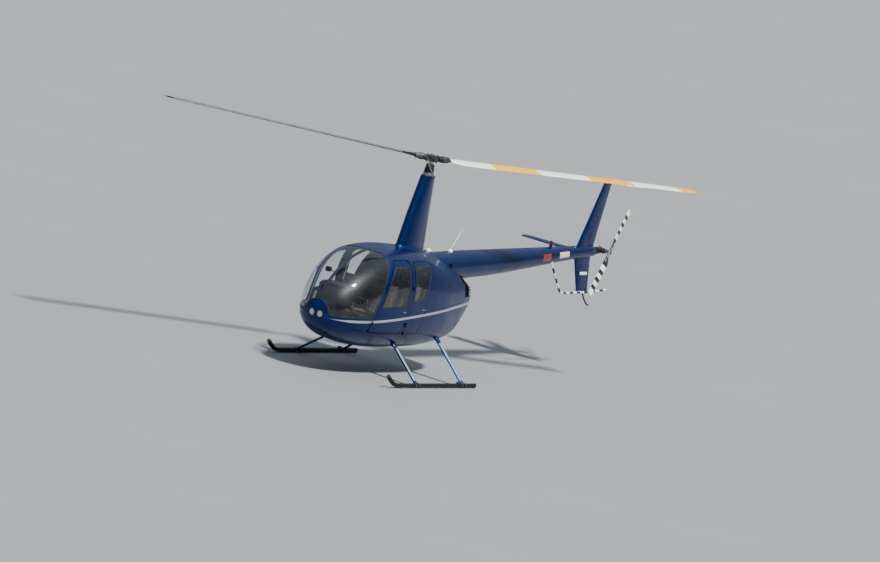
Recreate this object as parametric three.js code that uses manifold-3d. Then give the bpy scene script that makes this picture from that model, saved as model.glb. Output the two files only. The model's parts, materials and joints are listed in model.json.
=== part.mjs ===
// Light four-seat helicopter on skids, with a two-blade main rotor and a two-blade tail rotor.
// Millimetres. +X points aft, +Y to starboard and +Z up. Inside the group, the main rotor's
// mast stands at x = 0, y = 0, and the ground is z = 0. The group itself is placed so that the
// origin lies on the ground, on the centre line, half way along the overall length.
import * as THREE from 'three';
import { mergeVertices } from 'three/addons/utils/BufferGeometryUtils.js';
import Module from 'manifold-3d';

const wasm = await Module();
wasm.setup();

// Driving dimensions
const GAP = 0.3; // left between pieces that touch
const DOOR_GAP = 9; // around each closed door
const PORT = -1;
const STARBOARD = 1;

const WALL = 26; // cabin and cowl panels
const GLASS_DEPTH = 4; // from the outer surface to the glazing's outer face
const GLASS_THICKNESS = 6;
const CABIN_END_X = -40; // cabin panels in front, engine cowls behind
const COWL_END_X = 1290; // above LOUVRE_FOOT_Z the cowls end here, and the louvres follow
const LOUVRE_FOOT_Z = 1228;

const ROTOR_RADIUS = 5029;
const ROTOR_CHORD = 254;
const ROTOR_AZIMUTH = THREE.MathUtils.degToRad(-23.07); // of the blade that points aft
const CONING = THREE.MathUtils.degToRad(2.42);
const TEETER = THREE.MathUtils.degToRad(-1.53);
const HUB_Z = 3245;
const MAST_RADIUS = 30;

const TAIL_ROTOR_RADIUS = 737;
const TAIL_ROTOR_CHORD = 130;
const TAIL_HUB = new THREE.Vector3(5886, -195, 1914);
const TAIL_SHAFT_RADIUS = 14;
const TAIL_BLADE_ANGLE = THREE.MathUtils.degToRad(61); // above the aft direction

const MAST_X = -818; // the mast stands this far ahead of the middle of the overall length

const SKID_Y = 1045;
const SKID_RADIUS = 32;
const SHOE_THICKNESS = 8;

// Pod sections, front to rear: station x, top z, bottom z, half width, z of the greatest width,
// the exponents of the rounding above and below that height, the angle of the shoulder line above
// it in degrees, and how far the top is flattened between the two shoulders.
const POD = [
  { x: -2470, top: 940, bottom: 880, half: 30, wide: 910, above: 2.0, below: 2.0, shoulder: 45, flat: 0 },
  { x: -2430, top: 1070, bottom: 760, half: 170, wide: 920, above: 2.1, below: 2.1, shoulder: 45, flat: 0 },
  { x: -2340, top: 1270, bottom: 650, half: 320, wide: 940, above: 2.3, below: 2.2, shoulder: 45, flat: 0 },
  { x: -2200, top: 1420, bottom: 570, half: 425, wide: 960, above: 2.5, below: 2.25, shoulder: 45, flat: 0 },
  { x: -2000, top: 1580, bottom: 500, half: 515, wide: 990, above: 2.8, below: 2.3, shoulder: 45, flat: 0 },
  { x: -1700, top: 1745, bottom: 445, half: 590, wide: 1020, above: 3.1, below: 2.35, shoulder: 45, flat: 0 },
  { x: -1350, top: 1845, bottom: 410, half: 630, wide: 1050, above: 3.3, below: 2.4, shoulder: 45, flat: 0 },
  { x: -900, top: 1895, bottom: 395, half: 645, wide: 1070, above: 3.3, below: 2.45, shoulder: 45, flat: 0 },
  { x: -400, top: 1900, bottom: 400, half: 640, wide: 1080, above: 3.0, below: 2.5, shoulder: 60, flat: 0 },
  { x: 50, top: 1885, bottom: 415, half: 620, wide: 1090, above: 2.6, below: 2.6, shoulder: 47, flat: 0.8 },
  { x: 450, top: 1850, bottom: 445, half: 575, wide: 1100, above: 2.3, below: 2.7, shoulder: 38, flat: 1 },
  { x: 850, top: 1780, bottom: 490, half: 500, wide: 1120, above: 2.2, below: 2.8, shoulder: 30, flat: 1 },
  { x: 1200, top: 1670, bottom: 570, half: 420, wide: 1150, above: 2.3, below: 2.9, shoulder: 26, flat: 1 },
  { x: 1450, top: 1570, bottom: 740, half: 350, wide: 1200, above: 2.3, below: 2.9, shoulder: 24, flat: 1 },
  { x: 1580, top: 1500, bottom: 880, half: 310, wide: 1220, above: 2.3, below: 2.9, shoulder: 24, flat: 1 },
];
const POD_STEPS = 2; // rings made from one section to the next
const POD_SIDES = 24; // points around a ring, a multiple of four

// Side-view outlines, each a list of [x, z] corners
const BELT = [ // lower edge of the glazing, carried aft as the seam of the belly cowl
  [-2700, 905], [-2330, 895], [-2200, 900], [-1900, 917], [-1500, 945], [-1240, 962],
  [-830, 995], [-40, 1075], [700, 1135], [1700, 1185],
];
const PILLAR_FRONT = [ // rear edge of the windshield
  [-1762, 930], [-1655, 1190], [-1573, 1460], [-1440, 1690], [-1340, 1810], [-1290, 1990],
];
const FRONT_DOOR = [
  [-1765, 705], [-1700, 950], [-1600, 1180], [-1520, 1450], [-1400, 1650], [-1275, 1785],
  [-870, 1800], [-860, 690],
];
const FRONT_WINDOW = [
  [-1600, 1095], [-1545, 1215], [-1470, 1440], [-1350, 1640], [-1290, 1690], [-925, 1705],
  [-905, 1145],
];
const REAR_DOOR = [
  [-800, 690], [-790, 1790], [-230, 1780], [-135, 1740], [-310, 1180], [-340, 760], [-400, 700],
];
const REAR_WINDOW = [
  [-755, 1205], [-730, 1715], [-290, 1715], [-225, 1690], [-405, 1225],
];
const UPPER_COWL_SEAM = [[-40, 1700], [1700, 1270]];

// Cutters reach past the pod on every side
const CUT_FRONT_X = -2700;
const CUT_REAR_X = 1700;
const CUT_HALF_Y = 900;
const CUT_LOW_Z = 300;
const CUT_HIGH_Z = 2200;
const WINDOW_CORNER = 50;

// A hinge line through two points on a door's front edge: x and z of each, and how far the
// line stands off the panel there.
const HINGE_OFFSET = 20;
const DOORS = [
  {
    name: 'front', outline: FRONT_DOOR, window: FRONT_WINDOW, low: [-1743, 860], high: [-1552, 1400],
  },
  {
    name: 'rear', outline: REAR_DOOR, window: REAR_WINDOW, low: [-816, 850], high: [-812, 1400],
  },
];
const HINGE_PIN_RADIUS = 4;
const HINGE_CLEARANCE = 0.5;
const HINGE_RADIUS = 9;
const KNUCKLE_LENGTH = 34;
const LUG_LENGTH = 12;
const DOOR_ARM_LENGTH = 58;
const DOOR_ARM_SLANT = 0.45; // inward run of the door's arm for each unit aft

// Geometry helpers
function toSolid(geometry) {
  const bare = geometry.clone();
  bare.deleteAttribute('normal');
  bare.deleteAttribute('uv');
  const merged = mergeVertices(bare, 1e-3);
  return new wasm.Manifold(new wasm.Mesh({
    numProp: 3,
    vertProperties: new Float32Array(merged.attributes.position.array),
    triVerts: new Uint32Array(merged.index.array),
  }));
}

function toGeometry(solid) {
  const mesh = solid.getMesh();
  const geometry = new THREE.BufferGeometry();
  geometry.setAttribute('position', new THREE.BufferAttribute(mesh.vertProperties, 3));
  geometry.setIndex(new THREE.BufferAttribute(mesh.triVerts, 1));
  geometry.computeVertexNormals();
  return geometry;
}

function joined(first, ...others) {
  return others.reduce((sum, other) => sum.add(other), first);
}

function cut(solid, ...tools) {
  return tools.reduce((rest, tool) => rest.subtract(tool), solid);
}

function box(low, high) {
  const geometry = new THREE.BoxGeometry(high[0] - low[0], high[1] - low[1], high[2] - low[2]);
  geometry.translate((low[0] + high[0]) / 2, (low[1] + high[1]) / 2, (low[2] + high[2]) / 2);
  return toSolid(geometry);
}

// Cylinder between two points
function rod(start, end, radius, sides = 16, endRadius = radius) {
  const from = new THREE.Vector3(...start);
  const along = new THREE.Vector3(...end).sub(from);
  const geometry = new THREE.CylinderGeometry(endRadius, radius, along.length(), sides);
  geometry.translate(0, along.length() / 2, 0);
  const turn = new THREE.Quaternion().setFromUnitVectors(
    new THREE.Vector3(0, 1, 0), along.clone().normalize());
  geometry.applyQuaternion(turn);
  geometry.translate(from.x, from.y, from.z);
  return toSolid(geometry);
}

// Closed skin through rings of points, all with the same number of points in the same order
function skin(rings) {
  const sides = rings[0].length;
  const positions = [];
  const index = [];
  for (const ring of rings) {
    for (const point of ring) {
      positions.push(...point);
    }
  }
  for (let r = 0; r + 1 < rings.length; r += 1) {
    for (let k = 0; k < sides; k += 1) {
      const a = r * sides + k;
      const b = r * sides + (k + 1) % sides;
      index.push(a, b, a + sides, b, b + sides, a + sides);
    }
  }
  const last = (rings.length - 1) * sides;
  for (let k = 1; k + 1 < sides; k += 1) {
    index.push(0, k + 1, k);
    index.push(last, last + k, last + k + 1);
  }
  const geometry = new THREE.BufferGeometry();
  geometry.setAttribute('position', new THREE.Float32BufferAttribute(positions, 3));
  geometry.setIndex(index);
  const solid = toSolid(geometry);
  if (solid.volume() > 0) {
    return solid;
  }
  const flipped = index.slice();
  for (let i = 0; i < flipped.length; i += 3) {
    [flipped[i + 1], flipped[i + 2]] = [flipped[i + 2], flipped[i + 1]];
  }
  geometry.setIndex(flipped);
  return toSolid(geometry);
}

// Prism over a side-view outline of [x, z] points, from y0 to y1
function sidePrism(outline, y0, y1) {
  const shape = new THREE.Shape(outline.map(([x, z]) => new THREE.Vector2(x, z)));
  const geometry = new THREE.ExtrudeGeometry(shape, { depth: y1 - y0, bevelEnabled: false });
  geometry.rotateX(Math.PI / 2);
  geometry.translate(0, y1, 0);
  return toSolid(geometry);
}

// Tube of round section along a list of points
function tube(points, radius, sides = 10, steps = 16) {
  const shape = new THREE.Shape();
  for (let k = 0; k < sides; k += 1) {
    const angle = (2 * Math.PI * k) / sides;
    const place = [radius * Math.cos(angle), radius * Math.sin(angle)];
    if (k === 0) {
      shape.moveTo(...place);
    } else {
      shape.lineTo(...place);
    }
  }
  const places = points.map((point) => new THREE.Vector3(...point));
  const path = new THREE.CatmullRomCurve3(places, false, 'centripetal');
  const geometry = new THREE.ExtrudeGeometry(shape, { steps, extrudePath: path, bevelEnabled: false });
  return toSolid(geometry);
}

// Closed outline moved inwards by a distance, or outwards if it is negative
function inset(outline, distance) {
  const area = outline.reduce((sum, [x, z], i) => {
    const [nx, nz] = outline[(i + 1) % outline.length];
    return sum + x * nz - nx * z;
  }, 0);
  const turn = Math.sign(area);
  const inward = (from, to) => {
    const length = Math.hypot(to[0] - from[0], to[1] - from[1]);
    return [(-turn * (to[1] - from[1])) / length, (turn * (to[0] - from[0])) / length];
  };
  return outline.map((point, i) => {
    const before = outline[(i + outline.length - 1) % outline.length];
    const after = outline[(i + 1) % outline.length];
    const a = inward(before, point);
    const b = inward(point, after);
    const reach = distance / (1 + a[0] * b[0] + a[1] * b[1]);
    return [point[0] + (a[0] + b[0]) * reach, point[1] + (a[1] + b[1]) * reach];
  });
}

// Outline with its corners rounded, as points
function rounded(outline, radius, points = 2) {
  const smooth = [];
  outline.forEach((corner, i) => {
    const before = outline[(i + outline.length - 1) % outline.length];
    const after = outline[(i + 1) % outline.length];
    const towards = (other) => {
      const length = Math.hypot(other[0] - corner[0], other[1] - corner[1]);
      const reach = Math.min(radius, length * 0.45) / length;
      return [corner[0] + (other[0] - corner[0]) * reach, corner[1] + (other[1] - corner[1]) * reach];
    };
    const start = towards(before);
    const end = towards(after);
    for (let k = 0; k <= points; k += 1) {
      const t = k / points;
      const weights = [(1 - t) ** 2, 2 * t * (1 - t), t ** 2];
      smooth.push([0, 1].map((axis) => (
        weights[0] * start[axis] + weights[1] * corner[axis] + weights[2] * end[axis])));
    }
  });
  return smooth;
}

// Pod surface
function sectionAt(place) {
  const row = Math.min(Math.floor(place), POD.length - 2);
  const t = place - row;
  const rows = [row - 1, row, row + 1, row + 2].map((i) => POD[Math.min(Math.max(i, 0), POD.length - 1)]);
  const section = {};
  for (const key of Object.keys(POD[0])) {
    const [a, b, c, d] = rows.map((entry) => entry[key]);
    section[key] = b + 0.5 * t * (c - a + t * (2 * a - 5 * b + 4 * c - d + t * (3 * (b - c) + d - a)));
  }
  return section;
}

function sectionAtX(x) {
  let low = 0;
  let high = POD.length - 1;
  for (let i = 0; i < 40; i += 1) {
    const middle = (low + high) / 2;
    if (sectionAt(middle).x < x) {
      low = middle;
    } else {
      high = middle;
    }
  }
  return sectionAt(low);
}

// Half width of the pod at a station and a height, a depth under its outer surface
function podHalf(x, z, depth = 0) {
  const s = sectionAtX(x);
  const above = z >= s.wide;
  const height = (above ? s.top - s.wide : s.wide - s.bottom) - depth;
  const exponent = above ? s.above : s.below;
  const part = Math.min(Math.abs(z - s.wide) / height, 1);
  return (s.half - depth) * (1 - part ** exponent) ** (1 / exponent);
}

const NOSE_BLEND_END = -1700; // ahead of it, a depth also moves the ring aft
const NOSE_BLEND_LENGTH = 700;
const SHOULDER_CURVE = 1.3;
function podRing(section, depth) {
  const noseShare = Math.min(Math.max((NOSE_BLEND_END - section.x) / NOSE_BLEND_LENGTH, 0), 1);
  const x = section.x + depth * noseShare;
  const reach = section.half - depth;
  const ring = [];
  for (let k = 0; k < POD_SIDES; k += 1) {
    const turn = (4 * k) / POD_SIDES;
    const quarter = Math.floor(turn);
    const share = quarter % 2 === 0 ? turn - quarter : 1 - (turn - quarter);
    const starboard = quarter === 0 || quarter === 3;
    const upper = quarter < 2;
    const exponent = upper ? section.above : section.below;
    const height = (upper ? section.top - section.wide : section.wide - section.bottom) - depth;
    const shoulder = upper ? section.shoulder : 45;
    const degrees = share < 0.5 ? 2 * share * shoulder : shoulder + (2 * share - 1) * (90 - shoulder);
    const place = (angle) => {
      const radians = THREE.MathUtils.degToRad(angle);
      return [
        reach * Math.max(Math.cos(radians), 0) ** (2 / exponent),
        height * Math.sin(radians) ** (2 / exponent),
      ];
    };
    const [y, round] = place(degrees);
    let rise = round;
    if (upper && degrees > shoulder) {
      const [edgeY, edgeRise] = place(shoulder);
      const slope = edgeRise + (height - edgeRise) * (1 - (y / edgeY) ** SHOULDER_CURVE);
      rise += section.flat * (slope - rise);
    }
    ring.push([x, starboard ? y : -y, section.wide + (upper ? rise : -rise)]);
  }
  return ring;
}

// The pod's skin, lying a depth under the outer surface; past the last section by a tail length
function podLoft(depth, tail = 0) {
  const rings = [];
  const count = (POD.length - 1) * POD_STEPS;
  for (let i = 0; i <= count; i += 1) {
    const section = sectionAt(i / POD_STEPS);
    rings.push(podRing(section, depth));
  }
  if (tail > 0) {
    const end = { ...POD[POD.length - 1] };
    end.x += tail;
    rings.push(podRing(end, depth));
  }
  return skin(rings);
}

const podOuter = podLoft(0);
const podClear = podLoft(-GAP);
const podInner = podLoft(WALL, 60);
const panelShell = cut(podOuter, podInner);
const glassShell = cut(podLoft(GLASS_DEPTH), podLoft(GLASS_DEPTH + GLASS_THICKNESS, 60));

// Range of y on one side of the pod
function sideRange(side, from = 40) {
  return side === PORT ? [-CUT_HALF_Y, -from] : [from, CUT_HALF_Y];
}

// Windshield opening: ahead of the pillars, over the belt, and over the raised middle of the nose
const NOSE_CAP = { halfWidth: 210, top: 1085, base: 860, length: 700 };
function noseCap(offset) {
  const shape = new THREE.Shape();
  const rise = NOSE_CAP.top - NOSE_CAP.base;
  shape.absellipse(0, 0, NOSE_CAP.halfWidth + offset, rise + offset, 0, 2 * Math.PI);
  const settings = { depth: NOSE_CAP.length, bevelEnabled: false, curveSegments: 6 };
  const geometry = new THREE.ExtrudeGeometry(shape, settings);
  geometry.rotateX(Math.PI / 2);
  geometry.rotateZ(Math.PI / 2);
  geometry.translate(CUT_FRONT_X, 0, NOSE_CAP.base);
  return toSolid(geometry);
}
function windshieldPrism(offset, y0, y1) {
  const lower = BELT.filter(([x]) => x < PILLAR_FRONT[0][0]);
  const top = PILLAR_FRONT[PILLAR_FRONT.length - 1][1];
  const outline = [...lower, ...PILLAR_FRONT, [CUT_FRONT_X, top]];
  return sidePrism(inset(outline, offset), y0, y1);
}

// The panel's corners are rounder than the opening's, which clears its upper corner as it swings
const OPENING_CORNER = 60;
const PANEL_CORNER = 120;
function doorPrism(door, side, offset, corner) {
  const [y0, y1] = sideRange(side);
  return sidePrism(inset(rounded(door.outline, corner), offset), y0, y1);
}

function windowPrism(door, side, offset) {
  const [y0, y1] = sideRange(side);
  return sidePrism(inset(rounded(door.window, WINDOW_CORNER), offset), y0, y1);
}

const doorHoles = DOORS.flatMap((door) => [PORT, STARBOARD].map((side) => (
  doorPrism(door, side, 0, OPENING_CORNER))));

// Hinges: a pin between two lugs on the frame, and a knuckle on the door
function hingeLine(door, side) {
  const point = ([x, z]) => new THREE.Vector3(x, side * (podHalf(x, z) + HINGE_OFFSET), z);
  const low = point(door.low);
  const high = point(door.high);
  return { low, high, along: high.clone().sub(low).normalize() };
}

// Block from the hinge line to the panel, reaching in a direction across the line
function hingeArm(centre, along, direction, length, width) {
  const across = direction.clone().addScaledVector(along, -direction.dot(along)).normalize();
  const third = new THREE.Vector3().crossVectors(along, across);
  const geometry = new THREE.BoxGeometry(length, HINGE_RADIUS, width);
  geometry.translate(length / 2, 0, 0);
  geometry.applyMatrix4(new THREE.Matrix4().makeBasis(across, third, along));
  geometry.translate(...centre.toArray());
  return toSolid(geometry);
}

function frameHinge(door, side, place) {
  const { along, [place]: centre } = hingeLine(door, side);
  const at = (offset) => centre.clone().addScaledVector(along, offset).toArray();
  const half = KNUCKLE_LENGTH / 2 + HINGE_CLEARANCE;
  const inwards = new THREE.Vector3(0, -side, 0);
  const pieces = [rod(at(-half - 1), at(half + 1), HINGE_PIN_RADIUS, 8)];
  for (const end of [-1, 1]) {
    pieces.push(rod(at(end * half), at(end * (half + LUG_LENGTH)), HINGE_RADIUS, 8));
    const middle = centre.clone().addScaledVector(along, end * (half + LUG_LENGTH / 2));
    pieces.push(hingeArm(middle, along, inwards, HINGE_OFFSET + WALL / 2, LUG_LENGTH));
  }
  return joined(...pieces);
}

function doorHinge(door, side, place) {
  const { along, [place]: centre } = hingeLine(door, side);
  const at = (offset) => centre.clone().addScaledVector(along, offset).toArray();
  const half = KNUCKLE_LENGTH / 2;
  const towards = new THREE.Vector3(1, -DOOR_ARM_SLANT * side, 0);
  const knuckle = joined(
    rod(at(-half), at(half), HINGE_RADIUS, 8),
    hingeArm(centre, along, towards, DOOR_ARM_LENGTH, KNUCKLE_LENGTH - 8),
  );
  return cut(knuckle, rod(at(-half - 5), at(half + 5), HINGE_PIN_RADIUS + HINGE_CLEARANCE, 8));
}

function frameHinges(belowBelt) {
  const place = belowBelt ? 'low' : 'high';
  return DOORS.flatMap((door) => [PORT, STARBOARD].map((side) => frameHinge(door, side, place)));
}

// Cabin shell
const BOW_HALF = 14; // of the strip between the windshield's two panes
function cabinTub() {
  const edge = BELT.filter(([x]) => x <= CABIN_END_X).reverse();
  const outline = [[CUT_FRONT_X, CUT_LOW_Z], [CABIN_END_X, CUT_LOW_Z], ...edge];
  const below = sidePrism(outline, -CUT_HALF_Y, CUT_HALF_Y);
  const nose = panelShell.intersect(noseCap(0));
  const lamps = lampPlaces().map((centre) => lampHole(centre));
  const tub = joined(panelShell.intersect(below), nose);
  return joined(cut(tub, ...doorHoles, ...lamps), ...frameHinges(true));
}

function cabinFrame() {
  const edge = BELT.filter(([x]) => x <= CABIN_END_X).map(([x, z]) => [x, z + GAP]);
  const outline = [...edge, [CABIN_END_X, CUT_HIGH_Z], [CUT_FRONT_X, CUT_HIGH_Z]];
  const above = sidePrism(outline, -CUT_HALF_Y, CUT_HALF_Y);
  const glazed = ([y0, y1]) => windshieldPrism(0, y0, y1);
  const panes = [PORT, STARBOARD].map((side) => glazed(sideRange(side, BOW_HALF)));
  const frame = cut(panelShell.intersect(above), ...panes, noseCap(GAP), ...doorHoles);
  return joined(frame, ...frameHinges(false));
}

function windshieldPane(side) {
  const [y0, y1] = sideRange(side, BOW_HALF + GAP);
  const pane = glassShell.intersect(windshieldPrism(GAP, y0, y1));
  return cut(pane, noseCap(GAP));
}

function doorPanel(door, side) {
  const whole = panelShell.intersect(doorPrism(door, side, DOOR_GAP, PANEL_CORNER));
  const panel = cut(whole, windowPrism(door, side, 0));
  return joined(panel, doorHinge(door, side, 'low'), doorHinge(door, side, 'high'));
}

function doorPane(door, side) {
  return glassShell.intersect(windowPrism(door, side, GAP));
}

// Landing lamps in the nose
const LAMP_RADIUS = 52;
const LAMP_SPREAD = 65;
const LAMP_Z = 872;
const LAMP_FRONT_X = -2432;
const LAMP_LENGTH = 60;
function lampPlaces() {
  return [-LAMP_SPREAD, LAMP_SPREAD].map((y) => [y, LAMP_Z]);
}

function lampHole([y, z]) {
  return rod([CUT_FRONT_X, y, z], [LAMP_FRONT_X + 132, y, z], LAMP_RADIUS + GAP, 16);
}

function landingLamps() {
  const rear = LAMP_FRONT_X + LAMP_LENGTH;
  const lamps = lampPlaces().map(([y, z]) => rod([LAMP_FRONT_X, y, z], [rear, y, z], LAMP_RADIUS, 16));
  const holder = box([rear - 18, -LAMP_SPREAD, LAMP_Z - 15], [rear - 3, LAMP_SPREAD, LAMP_Z + 15]);
  return joined(...lamps, holder);
}

// Cabin interior
const FLOOR_Z = 610;
const clearInside = podLoft(WALL + GAP, 60);
// Bulkhead between the cabin and the engine, leaning aft: its front face at two heights
const BULKHEAD = { lowX: -230, lowZ: 380, highX: -85, highZ: 1900, thickness: 25 };
function bulkheadX(z) {
  const share = (z - BULKHEAD.lowZ) / (BULKHEAD.highZ - BULKHEAD.lowZ);
  return BULKHEAD.lowX + (BULKHEAD.highX - BULKHEAD.lowX) * share;
}

function firewall() {
  const { lowX, lowZ, highX, highZ, thickness } = BULKHEAD;
  const outline = [
    [lowX, lowZ], [lowX + thickness, lowZ], [highX + thickness, highZ], [highX, highZ],
  ];
  return sidePrism(outline, -CUT_HALF_Y, CUT_HALF_Y).intersect(clearInside);
}

const SEATS = [
  { row: 'front', front: -1500, back: -1060, base: 860 },
  { row: 'rear', front: -700, back: -300, base: 870 },
];
const SEAT_INNER_Y = 35;
const SEAT_OUTER_Y = 500;
const CUSHION_HEIGHT = 100;
const BACK_HEIGHT = 540;
const BACK_LEAN = 0.11; // aft run for each unit of height
const BACK_FOOT = 90; // thickness at the foot
const BACK_TOP = 80;
const BACK_INSET = 25; // narrower than the cushion at the outer side
const SEAT_BOX_HALF = 495;
const FLOOR_THICKNESS = 20;
// Floor with the boxes that the seats stand on
function cabinFloor() {
  const slab = box([-2250, -CUT_HALF_Y, FLOOR_Z - FLOOR_THICKNESS], [-150, CUT_HALF_Y, FLOOR_Z]);
  const boxes = SEATS.map((seat) => box(
    [seat.front + 25, -SEAT_BOX_HALF, FLOOR_Z - 10],
    [seat.back + 110, SEAT_BOX_HALF, seat.base - GAP],
  ));
  const behind = [
    [bulkheadX(CUT_LOW_Z) - GAP, CUT_LOW_Z], [bulkheadX(CUT_HIGH_Z) - GAP, CUT_HIGH_Z],
    [0, CUT_HIGH_Z], [0, CUT_LOW_Z],
  ];
  const clear = sidePrism(behind, -CUT_HALF_Y, CUT_HALF_Y);
  return cut(joined(slab, ...boxes).intersect(clearInside), clear);
}

function seatCushion(seat, side) {
  const y = [side * SEAT_INNER_Y, side * SEAT_OUTER_Y].sort((a, b) => a - b);
  return box([seat.front, y[0], seat.base], [seat.back, y[1], seat.base + CUSHION_HEIGHT]);
}

function seatBack(seat, side) {
  const y = [side * SEAT_INNER_Y, side * (SEAT_OUTER_Y - BACK_INSET)].sort((a, b) => a - b);
  const low = seat.base;
  const high = seat.base + BACK_HEIGHT;
  const lean = (high - low) * BACK_LEAN;
  const x = seat.back + GAP;
  const outline = [[x, low], [x + BACK_FOOT, low], [x + BACK_TOP + lean, high], [x + lean, high]];
  return sidePrism(outline, ...y);
}

function instrumentConsole() {
  const pedestal = sidePrism([
    [-2120, FLOOR_Z + GAP], [-1700, FLOOR_Z + GAP], [-1690, 900], [-1850, 1040], [-2120, 1040],
  ], -110, 110);
  const binnacle = sidePrism([
    [-2130, 1030], [-1850, 1030], [-1905, 1290], [-1960, 1325], [-2060, 1290],
  ], -260, 260);
  return joined(pedestal, binnacle).intersect(clearInside);
}

function cyclicStick() {
  const foot = [-1580, 0, FLOOR_Z + GAP];
  return joined(
    tube([foot, [-1580, 0, 700], [-1585, 0, 800], [-1600, 0, 1000], [-1560, 0, 1146]], 14, 6, 4),
    tube([[-1560, -330, 1150], [-1560, -120, 1145], [-1560, 120, 1145], [-1560, 330, 1150]], 12, 6, 3),
    ...[-330, 330].map((y) => rod([-1560, y, 1165], [-1555, y, 1010], 16, 8)),
  );
}

// Engine bay
// Seam points from the cabin's end aft, a gap behind it and raised by a distance
function seamAft(seam, raise) {
  const behind = seam.filter(([x]) => x >= CABIN_END_X);
  return behind.map(([x, z]) => [x === CABIN_END_X ? x + GAP : x, z + raise]);
}

function behindCowls() {
  return box([COWL_END_X, -CUT_HALF_Y, LOUVRE_FOOT_Z], [CUT_REAR_X, CUT_HALF_Y, CUT_HIGH_Z]);
}

function cowlSide(side) {
  const outline = [...seamAft(BELT, GAP), ...seamAft(UPPER_COWL_SEAM, -GAP).reverse()];
  const panel = panelShell.intersect(sidePrism(outline, ...sideRange(side, 60)));
  return cut(panel, tailCone(GAP), behindCowls());
}

function upperCowl() {
  const top = [[CUT_REAR_X, CUT_HIGH_Z], [CABIN_END_X + GAP, CUT_HIGH_Z]];
  const above = sidePrism([...seamAft(UPPER_COWL_SEAM, 0), ...top], -CUT_HALF_Y, CUT_HALF_Y);
  return cut(panelShell.intersect(above), tailCone(GAP), behindCowls());
}

function bellyCowl() {
  const bottom = [[CUT_REAR_X, CUT_LOW_Z], [CABIN_END_X + GAP, CUT_LOW_Z]];
  const below = sidePrism([...seamAft(BELT, 0), ...bottom], -CUT_HALF_Y, CUT_HALF_Y);
  return cut(panelShell.intersect(below), exhaustTube(GAP));
}

const ENGINE = { front: 110, rear: 960, half: 370, low: 590, high: 1020 };
const BEAM_X = [230, 830];
const BEAM_HALF = 25;
// Engine as one block, with the two beams that it stands on
function engineBlock() {
  const block = box([ENGINE.front, -ENGINE.half, ENGINE.low], [ENGINE.rear, ENGINE.half, ENGINE.high]);
  const top = ENGINE.low + 10;
  const beams = BEAM_X.map((x) => (
    box([x - BEAM_HALF, -CUT_HALF_Y, top - 60], [x + BEAM_HALF, CUT_HALF_Y, top])));
  return joined(block, ...beams).intersect(clearInside);
}

const FAN = { x: 1130, length: 230, radius: 245, z: 1000 };
function coolingFan() {
  const profile = [
    [0, ENGINE.rear + GAP], [70, ENGINE.rear + GAP], [70, FAN.x], [FAN.radius, FAN.x],
    [FAN.radius, FAN.x + FAN.length], [FAN.radius - 20, FAN.x + FAN.length],
    [FAN.radius - 20, FAN.x + 25], [95, FAN.x + 25], [80, FAN.x + 190], [0, FAN.x + 190],
  ].map(([r, x]) => new THREE.Vector2(r, x));
  const geometry = new THREE.LatheGeometry(profile, 24);
  geometry.rotateZ(-Math.PI / 2);
  geometry.translate(0, 0, FAN.z);
  return toSolid(geometry);
}

// Slats across the open rear end of the pod, and louvres around its sides behind the cowls
const GRILLE_X = 1500;
const GRILLE_FRONT_X = 1310; // of the frame that carries the louvres' front ends
const GRILLE_THICKNESS = 16;
const GRILLE_RIM = 22;
const SLATS = { low: 925, high: 1400, step: 60, ahead: 14, behind: 20, rise: 30, thickness: 6 };
function grilleFrame(x) {
  const slab = box([x, -CUT_HALF_Y, CUT_LOW_Z], [x + GRILLE_THICKNESS, CUT_HALF_Y, CUT_HIGH_Z]);
  return cut(slab.intersect(clearInside), podLoft(WALL + GRILLE_RIM, 60));
}

function rearGrille() {
  const slats = [];
  for (let z = SLATS.low; z < SLATS.high; z += SLATS.step) {
    const front = GRILLE_X - SLATS.ahead;
    const back = GRILLE_X + SLATS.behind;
    const high = z + SLATS.rise;
    const outline = [[front, z], [back, high], [back, high + SLATS.thickness], [front, z + SLATS.thickness]];
    slats.push(sidePrism(outline, -CUT_HALF_Y, CUT_HALF_Y));
  }
  const kept = joined(...slats).intersect(podLoft(WALL + SLATS.thickness, 60));
  const frames = [GRILLE_FRONT_X, GRILLE_X].map((x) => grilleFrame(x));
  const whole = cut(joined(kept, ...frames, ...louvres()), tailCone(GAP));
  return whole.decompose().reduce((a, b) => (a.volume() > b.volume() ? a : b));
}

const LOUVRES = { low: 1255, high: 1515, step: 45, rear: 1572, drop: 14, thickness: 9 };
function louvres() {
  const band = cut(podOuter, podLoft(WALL + GRILLE_RIM, 60));
  const front = COWL_END_X + GAP;
  const plates = [];
  for (let z = LOUVRES.low; z < LOUVRES.high; z += LOUVRES.step) {
    const low = z - LOUVRES.drop;
    const top = LOUVRES.thickness;
    const outline = [[front, z], [LOUVRES.rear, low], [LOUVRES.rear, low + top], [front, z + top]];
    plates.push(band.intersect(sidePrism(outline, -CUT_HALF_Y, CUT_HALF_Y)));
  }
  return plates;
}

const EXHAUST_RADIUS = 38;
const EXHAUST_WALL = 5;
const EXHAUST_CAP = 40; // closed length under the engine
function exhaustTube(extra) {
  return rod([720, 250, ENGINE.low - GAP - extra], [800, 330, 380], EXHAUST_RADIUS + extra, 16);
}

function exhaustPipe() {
  const clear = box(
    [ENGINE.front - GAP, -ENGINE.half - GAP, ENGINE.low - GAP],
    [ENGINE.rear + GAP, ENGINE.half + GAP, ENGINE.high],
  );
  const bore = rod([700, 230, ENGINE.low + 10], [810, 340, 350], EXHAUST_RADIUS - EXHAUST_WALL, 16);
  const open = box([0, 0, 0], [CUT_REAR_X, CUT_HALF_Y, ENGINE.low - EXHAUST_CAP]);
  return cut(exhaustTube(0), clear, bore.intersect(open));
}

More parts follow.
